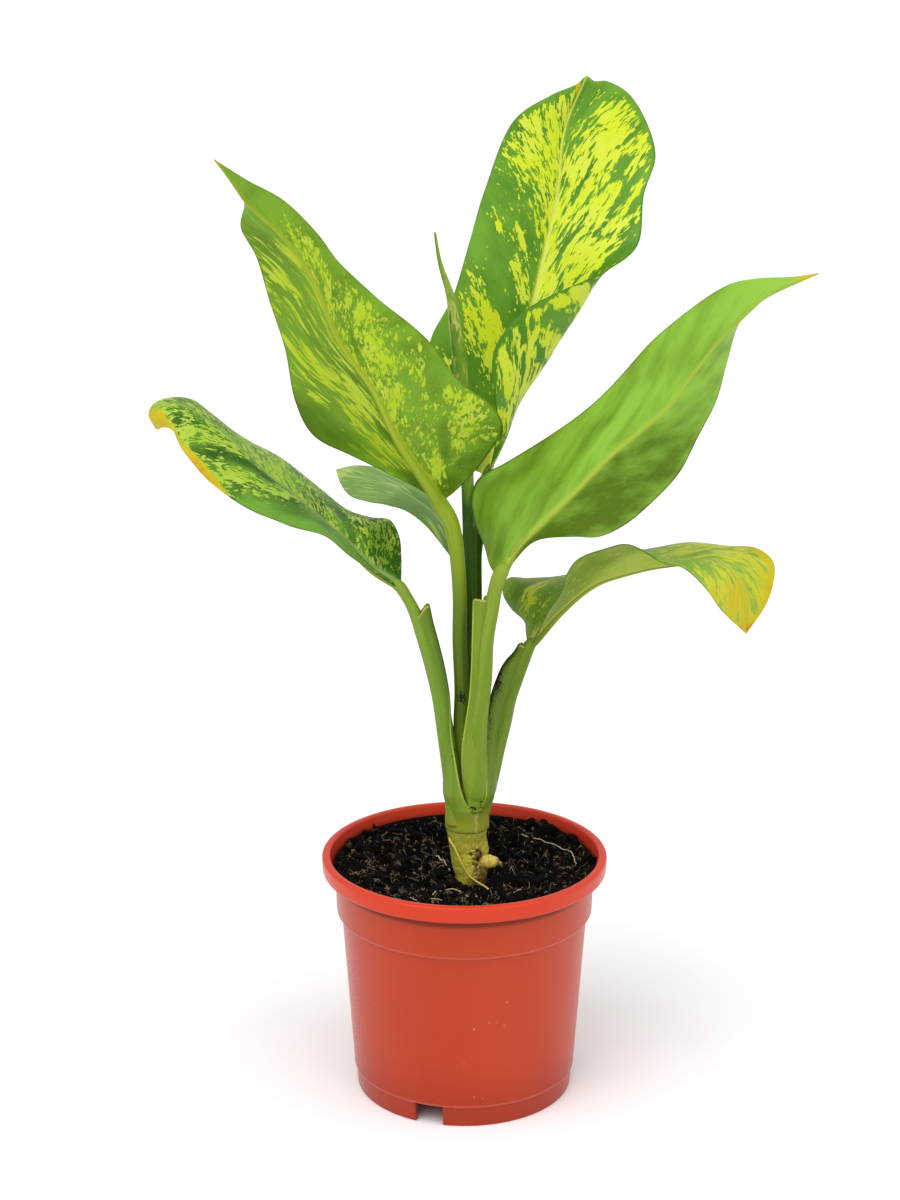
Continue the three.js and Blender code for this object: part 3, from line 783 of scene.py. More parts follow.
# ------------------------------------------------------------------------------ the leaves
# Shape, near that of the solids: a blade is drawn by its midrib "rib" and its margins "left" and
# "right", from the stalk to the tip, and "right_middle" bulges its right half. A "stalk" is
# (x, y, z, radius) from the blade down. "margin" is the near edge of a sheath, from its tip
# down, and the far edge mirrors it. "opens" is the way a sheath gapes, "wing" how far its top
# runs up beyond the stalk, falls off at the corner and is torn, "clasp" how far it stands off
# the cane, and "wing_shade" how dark it is.
#
# Colour: "stalk_colours" are green, pale and dark. "veins" is how far the side veins of the
# left and right half run on along the midrib for each millimetre away from it, and "grain" how
# short the marks along them are. "patches" are areas of (share of length, share across, two
# reaches in mm, yellow, dark, dried), where the last two may be left out; they add to "cover"
# and "shade". The reaches are over and along the side veins, or along and away from the midrib
# where the share across is 0, or the margin where it is 1 or -1. "over" and "under" are how
# soft and how faded the patches are on each face. "rib_width" is half the pale midrib's width
# at the stalk, "fine" how much the smallest marks count, and "freckles" how yellow stray dots
# are.


class Leaf(SimpleNamespace):
    """A leaf's shape and colours, with what stands where one isn't given."""

    right_middle = margin = lower_green = lower_dark = None
    over = (0.03, 0.0)
    freckles = 0.0


LEAVES = {
    "right_leaf": Leaf(
        rib=[
            (14, -16, 229), (21, -20, 241), (30, -25, 253), (42, -32, 267), (55, -39, 283),
            (67, -45, 295), (78, -50, 307), (87, -54, 321), (96, -57, 333), (104, -60, 342),
            (114, -63, 352), (129.7, -66, 359),
        ],
        left=[
            (13, -14, 228), (10, -10, 232), (8, -4, 238), (4, -2, 248), (3, -1, 260), (6, -1, 266),
            (16, -2, 272), (34, -8, 285), (51, -16, 300), (75, -30, 330), (98, -46, 351),
            (108, -54, 355), (121, -62, 357), (129.7, -66, 359),
        ],
        right=[
            (15, -15, 228), (20, -14, 235), (28, -14, 243), (43, -18, 246), (53, -22, 247),
            (63, -26, 253), (72, -30, 262), (83, -34, 276), (90, -38, 292), (96, -42, 307),
            (99, -46, 322), (103, -52, 339), (111, -58, 348), (129.7, -66, 359),
        ],
        stalk=[
            (15, -17, 232, 2.9), (12, -14, 222, 2.9), (11, -12, 214, 2.8), (9, -10, 200, 2.8),
            (8, -9, 183, 3.1), (6, -8, 165, 3.5), (5, -6, 147, 4.1), (4.2, -6.2, 134, 4.4),
            (4, -5.8, 125, 4.0),
        ],
        margin=[
            (3.1, -10, 218.2), (2.9, -10, 205), (2.6, -9.6, 190), (1.8, -9, 176), (0.2, -8.6, 164),
            (-1.2, -8.4, 154), (-1.2, -8.4, 142), (0.6, -8.2, 131), (2.5, -8.0, 126),
        ],
        wing_shade=0.1, opens=(-0.75, 0.66), wing=(0.0, 1.6, 0.1), clasp=0.0, green=(150, 202, 66),
        dark=(90, 124, 0), yellow=(166, 204, 72),
        stalk_colours=((118, 150, 36), (176, 194, 70), (62, 90, 10)), veins=(3.0, 2.6),
        grain=(0.7, 1.4), over=(0.35, 0.6), under=(0.35, 0.6), rib_colour=(176, 200, 66),
        rib_width=1.0, fine=0.7, cover=0.27, shade=0.12, seed=1.3,
        patches=[
            # The first two patches are painted shade: they darken the lower half, which is turned from
            # the light.
            (0.30, 0.55, 20, 80, -0.1, 0.4), (0.46, 0.75, 22, 60, -0.08, 0.3),
            (0.45, 1, 60, 2.6, 0.05, -0.3), (0.10, 0.60, 8, 20, 0.0, 0.4),
            (0.08, -0.45, 18, 50, 0.0, 0.4), (0.42, -0.45, 2, 26, 0.0, 0.36),
            (0.36, -0.40, 1.4, 20, 0.0, 0.36), (0.52, -0.30, 1.2, 16, 0.0, 0.3),
            (0.90, -0.40, 14, 40, 0.15, -0.25), (1.0, 0, 9, 9, 0.3, 0, 0.55),
        ],
    ),
    "top_leaf": Leaf(
        rib=[
            (9, 13, 264), (14, 22, 284), (22, 32, 307), (28, 42, 328), (33, 52, 349), (38, 60, 371),
            (41, 66, 397), (50, 70, 419),
        ],
        left=[
            (8, 12, 264), (2, 13, 267), (-4, 16, 277), (-13, 22, 295), (-14, 28, 316), (-4, 32, 336),
            (2, 38, 356), (8, 45, 375), (20, 56, 402), (35, 62, 411.4), (46, 68, 415.6), (50, 70, 419),
        ],
        right=[
            (10, 10, 265), (13, 4, 286), (11, 0, 304), (12, 2, 319), (23, 8, 331), (39, 16, 339),
            (57, 26, 345), (70, 36, 354), (73, 48, 373), (78, 56, 389), (68, 64, 411), (58, 67, 416.8),
            (53, 69, 416.6), (50, 70, 419),
        ],
        right_middle=[
            (10, 12, 265), (16, 10, 278), (22, 14, 294), (36, 22, 314), (47, 30, 330), (52, 42, 349),
            (57, 52, 368), (60, 60, 389), (57, 66, 407), (50, 70, 419),
        ],
        stalk=[
            (9, 13, 264, 2), (6, 12, 255, 2), (4, 10, 245, 2.4), (3, 8, 235, 2.8), (3, 7, 212, 3),
            (3, 6, 187, 3.2), (2, 5, 161, 3.6), (2, 4, 118, 3.8),
        ],
        margin=[
            (-0.9, 4.6, 243), (-1.2, 4.2, 230), (-1.1, 3.4, 212), (-0.9, 2.6, 190), (-0.6, 1.6, 168),
            (-0.6, 0.6, 118),
        ],
        wing_shade=0.3, opens=(0.0, -1.0), wing=(0.0, 2.2, 0.0), clasp=0.0, green=(120, 174, 52),
        dark=(82, 138, 28), yellow=(222, 238, 40),
        stalk_colours=((62, 104, 22), (118, 150, 44), (32, 66, 10)), veins=(1.6, 2.5),
        grain=(1.1, 0.7), under=(0.07, 0.1), rib_colour=(238, 244, 104), rib_width=2.6, fine=0.85,
        freckles=0.9, cover=0.16, shade=0.42, seed=4.1,
        patches=[
            (0.80, -0.30, 22, 90, 0.42), (0.42, -1, 58, 9, -0.3, -0.5), (0.47, -0.22, 4.6, 13, 0.5),
            (0.37, -0.58, 6.4, 30, 0.46), (0.27, -0.84, 4, 11, 0.44), (0.46, -0.80, 3, 10, 0.34),
            (0.57, -0.36, 1.8, 9, 0.44), (0.60, -0.72, 2.4, 9, 0.36), (0.36, -0.30, 3, 10, 0.36),
            (0.78, 0.40, 19, 90, 0.46), (0.53, 0.20, 9, 40, 0.44), (0.66, 0.58, 2.1, 20, -0.6, 0.2),
            (0.56, 0.80, 1.8, 14, -0.5, 0.2), (0.63, 0.28, 1.3, 14, -0.5, 0.2),
            (0.55, 0.14, 0.9, 12, -0.5, 0.2), (0.77, 0.60, 1.7, 9, -0.5, 0.2),
            (0.74, 0.22, 1.0, 14, -0.4, 0.2), (0.90, 0.12, 1.6, 9, -0.3, 0.2),
            (0.84, 0.80, 1.2, 8, -0.35, 0.2), (0.85, 1, 40, 2.6, -0.35, -0.2),
            (1.0, 0, 2.5, 40, -0.35, -0.3), (0.97, -0.6, 2, 6, 0, 0, 0.5),
            (0.86, -1, 30, 2.4, -0.25, -0.2), (0.26, 0.55, 24, 90, 0.37, 0.3),
        ],
    ),
    "left_leaf": Leaf(
        rib=[
            (-10, -13, 260), (-16, -18, 270), (-26, -27, 287), (-36, -37, 310), (-48, -46, 330),
            (-57, -55, 355), (-68, -62, 372), (-80, -68, 385), (-86, -74, 395), (-90, -79.8, 402),
        ],
        left=[
            (-9, -12, 259), (-4, -8, 262), (4, -6, 270), (11, -8, 280), (15, -12, 289), (11, -16, 298),
            (-2, -20, 309), (-14, -26, 326), (-35, -36, 346), (-48, -44, 360), (-55, -50, 371),
            (-67, -60, 385), (-79, -68, 393), (-90, -79.8, 402),
        ],
        right=[
            (-11, -12, 258), (-17, -8, 262), (-26, -8, 267), (-46, -12, 278), (-60, -20, 288),
            (-66, -28, 303), (-69, -36, 325), (-74, -44, 345), (-78, -52, 363), (-83, -58, 375),
            (-81, -62, 384), (-83, -68, 391), (-90, -79.8, 402),
        ],
        stalk=[
            (-10, -13, 258, 3.4), (-6, -12, 251, 3.3), (-4, -10, 242, 3.2), (-3, -8, 233, 3),
            (-2, -5, 216, 3), (-2, -2, 198, 3.1), (-1, 1, 175, 3.3), (-1, 2, 160, 3.7),
            (0, 2, 118, 4.2),
        ],
        green=(128, 174, 44), dark=(90, 126, 6), yellow=(190, 216, 34),
        stalk_colours=((106, 140, 24), (176, 196, 50), (50, 78, 8)), veins=(2.6, 4.5),
        grain=(2.0, 0.42), under=(0.08, 0.06), rib_colour=(178, 194, 40), rib_width=1.3, fine=0.8,
        freckles=0.3, cover=0.4, shade=0.22, seed=7.7,
        patches=[
            (0.23, -0.68, 5, 14, 0.16), (0.08, -0.30, 5, 12, 0.24), (0.35, -0.20, 6, 22, 0.16),
            (0.52, -0.40, 6, 24, 0.14), (0.64, -0.25, 5, 16, 0.14), (0.75, -0.45, 5, 15, 0.12),
            (0.46, -0.14, 1.3, 9, -0.4, 0.2), (0.62, -0.12, 1.3, 8, -0.4, 0.2),
            (0.37, -0.85, 3, 9, -0.25), (0.60, -1, 70, 5, -0.35, -0.1),
            (0.17, -0.42, 1.8, 12, -0.45, 0.4), (0.35, 0.30, 5, 30, 0.14),
            (0.55, 0.50, 40, 90, 0.04, 0.1), (0.20, 0.45, 4, 18, 0.16), (0.72, 0.12, 3, 8, 0.3),
            (0.32, 0.80, 5, 24, -0.35, 0.7), (0.23, 0.14, 1.8, 7, -0.35, 0.3),
            (0.14, 0.35, 4, 10, 0.2), (0.06, 0.62, 5, 12, -0.25, 0.6), (0, 0, 8, 60, -0.3, 0.5),
            (1.0, 0, 36, 80, -0.45, -0.3), (1.0, 0, 5, 12, 0.5, 0, 0.3),
        ],
    ),
    "lower_left_leaf": Leaf(
        rib=[
            (-27, -2, 222), (-37, -4, 229), (-50, -5, 243), (-58, -5, 250), (-67, -5, 259),
            (-80, -5, 269), (-89, -5, 279), (-103, -6, 291), (-113, -7, 297), (-121, -8, 297),
            (-125, -8, 293), (-123, -6, 287),
        ],
        left=[
            (-28, -4, 221), (-37, -10, 229), (-46, -18, 238), (-56, -24, 248), (-71, -30, 254),
            (-83, -31, 260), (-94, -30, 266), (-106, -26, 277), (-111, -22, 282), (-115, -18, 289),
            (-119, -12, 289), (-122, -7, 287),
        ],
        right=[
            (-26, 0, 222), (-26, 6, 230), (-27, 14, 237), (-31, 18, 243), (-39, 20, 244),
            (-51, 22, 248), (-67, 23, 262), (-79, 23, 270), (-96, 20, 281), (-104, 16, 289),
            (-110, 12, 295), (-118, 6, 297), (-124, 0, 296), (-125.7, -4, 293), (-123, -6, 288),
        ],
        stalk=[
            (-27, -2, 221, 2.4), (-23.6, -2, 216, 2.3), (-20.6, -2, 210, 2.5), (-17.6, -2, 201, 2.8),
            (-14, -2, 189, 3.1), (-10.4, -2, 174, 3.3), (-7.8, -2, 157, 3.6), (-5.2, -3, 139, 4),
            (-3.4, -4, 118, 4.1),
        ],
        margin=[
            (-14.2, -3.6, 213.5), (-12.7, -4.2, 205), (-10.3, -4.8, 195), (-8.5, -5.2, 187),
            (-6.5, -5.6, 175), (-5.9, -6.2, 167), (-5.7, -7.0, 159), (-4, -8.4, 148.5),
            (-1.2, -9.6, 134.5), (0.6, -9.9, 129.4), (2.4, -10, 126.8), (4.6, -10, 125.4),
            (5.6, -9.8, 121), (5.6, -9.4, 115.6),
        ],
        wing_shade=0.5, opens=(1.0, 0.0), wing=(6.0, 0.8, 0.3), clasp=0.1, green=(120, 172, 60),
        dark=(52, 98, 10), yellow=(172, 208, 58),
        stalk_colours=((114, 150, 42), (166, 192, 70), (58, 90, 14)), veins=(2.5, 0.7),
        grain=(1.2, 1.6), under=(0.1, 0.2), rib_colour=(150, 180, 92), rib_width=1.0, fine=1.0,
        freckles=0.4, cover=0.46, shade=0.45, seed=2.9,
        patches=[
            (0.78, -0.40, 8, 18, 0.12), (0.62, -0.60, 3, 14, 0.12, 0.1),
            (0.48, -0.40, 2.4, 12, 0.14, 0.3), (0.76, -1, 18, 4.6, 0.2, 0, 0.62),
            (0.90, -1, 9, 9, 0.2, 0, 0.3), (1.0, 0, 14, 60, 0.4, 0, 0.42),
            (0.57, -0.22, 2.6, 12, -0.2, 0.4), (0.70, -0.50, 3, 20, -0.22, 0.25),
            (0.84, -0.45, 3, 18, -0.15, 0.2), (0.42, -1, 26, 6.5, -0.45, -0.5),
            (0.27, -0.40, 8, 30, -0.3, -0.3), (0.55, 0.40, 14, 40, 0.08, -0.3),
            # (0.15, 0.50, 8, 16, 0.06, 0.9) is painted shade on the far half's base lobe.
            (0.15, 0.50, 8, 16, 0.06, 0.9), (0.27, 0.40, 3, 14, -0.25, 0.1), (0, 0, 9, 60, -0.14, 0.5),
        ],
    ),
    "lower_right_leaf": Leaf(
        rib=[
            (26, 4, 194), (30.8, 3, 200.2), (37.6, 1, 208.4), (47.6, -1, 218), (55, -2, 222.8),
            (64, -3, 226), (75, -4, 229), (87, -5, 231), (100, -6, 233), (110, -8, 227),
            (114, -9, 217), (114, -10, 203),
        ],
        left=[
            (26, 6, 194), (25.4, 9, 197.4), (24.9, 12, 201.2), (19.3, 17.5, 205.6), (16, 22, 211),
            (18, 26, 216), (27, 30, 215), (40, 32, 215), (57, 30, 222), (73, 26, 228), (89, 20, 233),
            (107, 12, 234), (119, 4, 235), (125, -2, 231), (125, -5, 224), (122, -8, 215),
            (114, -10, 203),
        ],
        right=[
            (28, 2, 194), (31, -4, 204), (34, -8, 212), (39, -11, 221), (41, -13, 229), (45, -14, 235),
            (55, -15, 240), (65, -16, 242), (79, -17, 235), (87, -18, 233), (96, -19, 225),
            (103, -17, 215), (114, -10, 203),
        ],
        stalk=[
            (27, 4, 194, 2.5), (24, 4, 187, 2.9), (21, 4, 179, 3.2), (18, 4, 170, 3.4),
            (16, 3, 161, 3.6), (13, 2, 149, 3.8), (10, 0, 136, 4), (5.4, -2, 118, 4.0),
        ],
        margin=[
            (22.0, 2.0, 195), (20, 1.6, 191), (17.2, 0.8, 186.8), (14.8, 0, 182.2), (13, -0.8, 177.2),
            (11.5, -1.6, 172.1), (10.1, -2.8, 166), (8.9, -5, 155.5), (8.9, -8, 139),
            (8.5, -9.2, 130.5), (7.4, -9.8, 127), (5.2, -10, 125.5), (4.6, -9.8, 121),
            (4.6, -9.6, 115.6),
        ],
        wing_shade=0.4, opens=(-1.0, 0.0), wing=(1.6, 0.8, 0.7), clasp=0.4, green=(144, 182, 66),
        dark=(88, 128, 18), yellow=(210, 216, 52), lower_green=(172, 196, 78),
        lower_dark=(118, 146, 30), stalk_colours=((104, 136, 32), (164, 182, 60), (52, 80, 10)),
        veins=(3.0, 3.0), grain=(1.0, 0.8), over=(0.13, 0.08), under=(0.2, 0.3),
        rib_colour=(192, 200, 96), rib_width=1.2, fine=0.7, freckles=0.6, cover=0.24, shade=0.3,
        seed=5.5,
        patches=[
            (0.96, 0, 32, 80, 0.38, -0.4, 0.34), (0.80, -1, 10, 3.5, 0.1, 0, 0.2),
            (0.97, -1, 12, 3, 0.1, 0, 0.15), (1.0, 0, 5, 14, 0, 0, 0.3),
            (0.16, -0.50, 4, 12, 0.3, -0.1), (0.60, -0.50, 14, 30, 0.24, -0.5),
            (0.14, 0.50, 16, 40, 0, 0.35), (0.34, 0.80, 12, 24, -0.05, 0.2),
            (0.62, 0.40, 9, 30, 0.1, -0.4),
        ],
    ),
    "back_leaf": Leaf(
        rib=[
            (-4, 14, 229), (-8, 22, 238), (-14, 32, 243), (-24, 46, 247), (-34, 60, 248),
            (-45, 74, 248), (-56, 86, 248),
        ],
        left=[
            (-5, 12, 228), (-8, 10, 233), (-16, 14, 242), (-24, 22, 246), (-32, 32, 246),
            (-41, 46, 244), (-49, 60, 243), (-54, 76, 245), (-56, 86, 248),
        ],
        right=[
            (-3, 16, 230), (-2, 34, 236), (-10, 54, 243), (-20, 68, 246), (-28, 78, 247),
            (-38, 86, 249), (-48, 89.7, 249), (-53, 89.7, 248), (-56, 86, 248),
        ],
        stalk=[
            (-4, 14, 229, 1.8), (-2, 14, 217, 2.1), (0, 12, 202, 2.5), (1, 10, 177, 2.5),
            (2, 8, 151, 2.9), (2, 6, 118, 3.4),
        ],
        green=(134, 174, 84), dark=(96, 138, 50), yellow=(166, 198, 104),
        stalk_colours=((92, 130, 30), (140, 170, 54), (52, 82, 12)), veins=(9.0, 9.0),
        grain=(0.25, 0.25), under=(0.25, 0.25), rib_colour=(150, 184, 104), rib_width=0.6, fine=0.5,
        cover=0.42, shade=0.3, seed=8.8,
        patches=[
            (0.97, 0, 5, 8, 0.3, 0, 0.2), (0.30, 0, 16, 40, -0.1, 0.4),
        ],
    ),
}
MOST_COVER = 0.6  # so that some green shows through the yellowest places

BLADE_ROWS = 180
HALF_COLUMNS = 30
RIB_COLUMNS = 6  # of those, the ones within RIB_REACH of the midrib
RIB_REACH = 3.2
BLADE_END = 0.9985  # a blade stops short of its tip, where its margins meet
BLADE_HALF_THICKNESS = 0.34
MARGIN_THINNING = 0.16
CHANNEL_DEPTH = 0.3
KEEL_DEPTH = 0.7
ARCH = 0.05  # rise of each half between midrib and margin, as a share of its width
RIPPLE = 0.5
RIPPLE_COUNT = 5.5
RIPPLE_SHIFT = 2
VEIN_RELIEF = 0.06
VEIN_SPACING = 2.6
VEIN_REACH = 30  # mm from the midrib over which a side vein runs on by its slope on average
VEIN_CURL = 0.7  # below 1, side veins turn away from the midrib
STALK_SIDES = 28
STALK_STEP = 1.1  # mm between the rings of a stalk
SHEATH_ROWS = 150
SHEATH_COLUMNS = 44
SHEATH_ON_CANE = (119, 133)  # heights between which a sheath leaves the cane
CRACK_TOP = 127  # the withered crack near a sheath's margin starts below this height


def blade_columns(width):
    """Places across one half from the midrib to the margin, close together at the midrib."""
    foot = np.minimum(0.5, RIB_REACH / np.maximum(width, 1))[:, None]
    near = foot * np.arange(RIB_COLUMNS) / RIB_COLUMNS
    far = foot + (1 - foot) * np.linspace(0, 1, HALF_COLUMNS - RIB_COLUMNS + 1)
    return np.hstack([near, far])


def blade_sheet(leaf):
    """The blade's middle surface and what its pattern needs, over rows and columns."""
    midrib = Curve(leaf.rib)
    u = BLADE_END * np.linspace(0, 1, BLADE_ROWS + 1) ** 1.1
    rib, left, right = midrib.at(u), Curve(leaf.left).at(u), Curve(leaf.right).at(u)
    tangent = midrib.tangent(u)
    upper = unit(np.cross(right - left, tangent))
    halves = [blade_columns(np.linalg.norm(edge - rib, axis=1)) for edge in (left, right)]
    across = np.hstack([-halves[0][:, :0:-1], halves[1]])

    u = u[:, None]
    rib, left, right, tangent, upper = (a[:, None] for a in (rib, left, right, tangent, upper))
    share = np.abs(across)[..., None]
    is_right = across[..., None] > 0
    edge = np.where(is_right, right, left)
    reach = np.linalg.norm(edge - rib, axis=-1, keepdims=True)
    middle = (rib + edge) / 2 + upper * ARCH * reach
    if leaf.right_middle:
        middle = np.where(is_right, Curve(leaf.right_middle).at(u), middle)
    phase = 2 * math.pi * RIPPLE_COUNT * u + across * RIPPLE_SHIFT
    wave = (np.sin(phase) * np.sin(math.pi * u))[..., None]
    points = (
        rib * (1 - share) * (1 - 2 * share)
        + middle * 4 * share * (1 - share)
        + edge * share * (2 * share - 1)
        + upper * RIPPLE * smooth(reach, 10, 35) * share**3 * wave
    )

    offset = points - rib
    ahead = (offset * tangent).sum(-1)
    away = np.linalg.norm(offset - ahead[..., None] * tangent, axis=-1)
    along = u * midrib.length + ahead
    slope = np.where(across < 0, *leaf.veins)
    steepness = np.hypot(1, slope)
    run = slope * VEIN_REACH * (away / VEIN_REACH) ** VEIN_CURL
    return SimpleNamespace(
        midrib=midrib,
        points=points,
        normals=unit(np.cross(np.gradient(points, axis=1), np.gradient(points, axis=0))),
        u=u,
        across=across,
        away=away,
        along=along,
        inward=(1 - share[..., 0]) * reach[..., 0],
        over_veins=(along - run) / steepness,
        along_veins=(away + slope * along) / steepness * np.where(across < 0, -1, 1),
    )


def patch_weight(sheet, u, across, over, along):
    """How much each place of a blade belongs to a patch: 1 at its middle, 0 outside it."""
    row = np.abs(sheet.u[:, 0] - u).argmin()
    column = np.abs(sheet.across[row] - across).argmin()
    axes = {0: (sheet.along, sheet.away), 1: (sheet.along, sheet.inward)}
    first, second = axes.get(abs(across), (sheet.over_veins, sheet.along_veins))
    apart = (first - first[row, column]) / over
    beside = (second - second[row, column]) / along
    own_side = 1 if across == 0 else sheet.across * across > 0
    return np.exp(-((apart**2 + beside**2) ** 2)) * own_side


def blade_marks(sheet, leaf):
    """How yellow, dark and dried each place of a blade is."""
    mark = np.zeros((*sheet.across.shape, 3)) + (leaf.cover, leaf.shade, 0)
    for u, across, over, along, *amounts in leaf.patches:
        amounts += [0] * (3 - len(amounts))
        mark += patch_weight(sheet, u, across, over, along)[..., None] * amounts
    margin = smooth(np.abs(sheet.across), 0.965, 0.995)
    mark[..., 0] = np.minimum(mark[..., 0], MOST_COVER) - 0.3 * margin
    mark[..., 1] += 0.5 * margin
    return mark


def add_blade(shell, sheet, leaf):
    """The blade as a thin closed solid: slot 0 is its upper face, slot 1 its lower face."""
    away, ahead = sheet.away, 1 - sheet.u
    share = np.abs(sheet.across)
    thickness = BLADE_HALF_THICKNESS - MARGIN_THINNING * share**2
    veins = VEIN_RELIEF * np.cos(2 * math.pi * sheet.over_veins / VEIN_SPACING)
    veins = veins * smooth(share, 0, 0.2) * (1 - smooth(share, 0.8, 1.0))
    channel = CHANNEL_DEPTH * bell(away, 1.5) * ahead**0.5
    keel = KEEL_DEPTH * ahead**1.5 * bell(away, 0.6 + 1.4 * ahead)
    top = sheet.points + sheet.normals * (thickness - channel + veins)[..., None]
    bottom = sheet.points - sheet.normals * (thickness + keel - veins)[..., None]
    rib = 1.5 * bell(away, 0.4 + leaf.rib_width * ahead**1.5) * (0.6 + 0.4 * ahead)
    grain = np.where(sheet.across < 0, *leaf.grain)
    vein = fields(sheet.over_veins, sheet.along_veins * grain, np.minimum(rib, 1))
    shell.sheet(top, bottom, (0, 1), vein, blade_marks(sheet, leaf))


# Where dirt and black specks cling to the stalks: x, z, reach over both, and how thick.
SPECKS = [
    (-1.3, 173.3, 2.6, 4.0, 0.9),
    (13.0, 180.0, 3.4, 9.0, 0.9),
    (10.5, 160.0, 2.0, 10.0, 0.6),
    (3.4, 127.0, 3.0, 1.6, 0.8),
    (7.4, 129.0, 1.6, 4.0, 0.6),
    (-4.0, 150.0, 1.6, 6.0, 0.6),
]


def speck_marks(points):
    """Marks that make a stalk dirty near the places in SPECKS."""
    marks = np.zeros(points.shape)
    for x, z, wide, tall, amount in SPECKS:
        marks[..., 2] -= amount * bell(points[..., 0] - x, wide) * bell(points[..., 2] - z, tall)
    return marks


def add_stalk(shell, sheet, leaf):
    """The round stalk, running on under the blade as its tapering midrib. Slot 2."""
    rows = np.linspace(0.03, 0.985, 26)
    nearest = np.abs(sheet.u[:, 0] - rows[:, None]).argmin(1)
    normal = sheet.normals[nearest, sheet.across.shape[1] // 2]
    radius = 0.2 + (leaf.stalk[0][3] * 0.75 - 0.2) * (1 - rows) ** 3.2
    centre = sheet.midrib.at(rows) - normal * (0.3 + radius * 0.9)[:, None]
    curve = Curve(np.vstack([leaf.stalk[::-1], np.column_stack([centre, radius])]))
    steps = int(curve.length / STALK_STEP)
    spine = curve.even(steps)
    angle = turns(STALK_SIDES)
    rings = rings_along(spine, STALK_SIDES, 1 + 0.012 * np.cos(9 * angle))
    height = rings[..., 2]
    around = np.minimum(angle, 2 * math.pi - angle) * 3
    along = np.linspace(0, curve.length, steps)[:, None]
    slim = 1 - smooth(spine[:, 3:], 0.8, 2.2)
    pale = 0.12 + 0.4 * smooth(height, 180, 245) + 0.4 * slim
    dark = 0
    if not leaf.margin:
        pale = pale + 0.35 * (1 - smooth(height, 145, 170))
        # Painted shade where a stalk without a sheath runs down among the sheaths.
        dark = 0.5 * smooth(height, 150, 175) * (1 - smooth(height, 205, 245))
    mark = fields(pale, dark, 0) + speck_marks(rings)
    shell.tube(rings, 2, fields(around, along, height), mark)


def at_height(spine, height):
    """x, y and radius, at each height, of a spine that climbs or falls."""
    rising = Curve(spine).samples
    rising = rising[np.argsort(rising[:, 2])]
    return np.stack([np.interp(height, rising[:, 2], rising[:, k]) for k in (0, 1, 3)], -1)


def add_sheath(shell, leaf):
    """The sheath's two wings clasp what grows inside them: at each height they follow the
    circle through the near margin, the stalk and the far margin, and at their foot the cane.
    Slot 2."""
    t = np.linspace(0, 1, SHEATH_ROWS)[:, None]
    near = Curve(leaf.margin).at(t)
    height = near[..., 2]
    spine = at_height(leaf.stalk, height)
    out = -unit(np.array(leaf.opens, float))
    side = np.array([-out[1], out[0]])
    offset = near[..., :2] - spine[..., :2]
    ahead = offset @ out
    grip = smooth(t, 0.45, 0.85)
    squash = 0.55 + 0.45 * grip
    beside = np.abs(offset @ side) / squash
    back = np.maximum(spine[..., 2] * (1.15 * grip), ahead + 0.4)
    centre = (back**2 - ahead**2 - beside**2) / (2 * (back - ahead))
    radius = back - centre
    half_turn = np.arctan2(beside, ahead - centre)
    s = np.linspace(-1, 1, SHEATH_COLUMNS)
    turn = half_turn * s
    middle = spine[..., :2] + centre[..., None] * out

    lift, corner, torn = leaf.wing
    tear = lump(fields(s * 7, 0, 0), 1.3, 2.7)
    cut = lift * smooth(0.95 - np.abs(s), 0, 0.6) + torn * (1 + tear)
    cut = cut + corner * np.clip((np.abs(s) - 0.86) / 0.14, 0, 1) ** 2
    z = height - cut * (1 - smooth(t, 0, 0.16))
    cane = at_height(CANE, z)
    hold = 1 - smooth(z, *SHEATH_ON_CANE)

    def skin(inset):
        """The surface at a depth inside the sheath's outer face."""
        arm = np.cos(turn)[..., None] * out + (np.sin(turn) * squash)[..., None] * side
        flat = middle + (radius - inset)[..., None] * arm
        away = unit(flat - cane[..., :2])
        snug = cane[..., :2] + away * (cane[..., 2] + leaf.clasp + 0.5 - 0.6 * inset)[..., None]
        return np.concatenate([flat + (snug - flat) * hold[..., None], z[..., None]], -1)

    wall = 0.95 - 0.6 * np.abs(s) ** 3
    outer, inner = skin(0), skin(wall)
    edge = radius * half_turn * (1 - np.abs(s))
    rim = 1 - smooth(edge, 0.4, 0.8)
    pale = rim * (smooth(t, 0.3, 0.6) if leaf.wing_shade > 0.35 else 1.0)
    shade = leaf.wing_shade * (0.6 + 0.8 * (1 - smooth(edge, 0.8, 2.4)))
    torn_edge = 0.62 * (1 - smooth(t, 0, 0.02))
    wander = 0.8 + 1.3 * lump(outer, 2.4, 3.3)
    crack = bell(edge - wander, 0.55) * smooth(CRACK_TOP - z, 0, 3)
    browned = 0.5 * rim * smooth(t, 0.35, 0.8)
    withered = np.maximum(np.maximum(browned, torn_edge), 0.85 * crack)
    mark = fields(0.15 + 0.9 * pale, shade * (1 - pale) * (1 - grip), withered)
    mark += speck_marks(outer) * (1 - np.minimum(2 * crack, 1))[..., None]
    shell.sheet(outer, inner, (2, 2), fields(radius * turn, height[0] - z, z), mark)


def build_leaf(name, leaf):
    """A blade on its stalk, with a sheath where its near margin is given."""
    sheet = blade_sheet(leaf)
    shell = Shell()
    add_blade(shell, sheet, leaf)
    add_stalk(shell, sheet, leaf)
    if leaf.margin:
        add_sheath(shell, leaf)
    lower_green = leaf.lower_green or leaf.green
    lower_dark = leaf.lower_dark or leaf.dark
    upper = leaf_paint(name + "_upper", leaf, leaf.green, leaf.dark, *leaf.over)
    lower = leaf_paint(name + "_lower", leaf, lower_green, lower_dark, *leaf.under)
    stalk = stalk_paint(name + "_stalk", *leaf.stalk_colours)
    shell.piece(name + "_grown", name, "leaf", upper, lower, stalk)


# --------------------------------------------------------------------- new leaf and cane
# Spines are points of (x, y, z, radius).

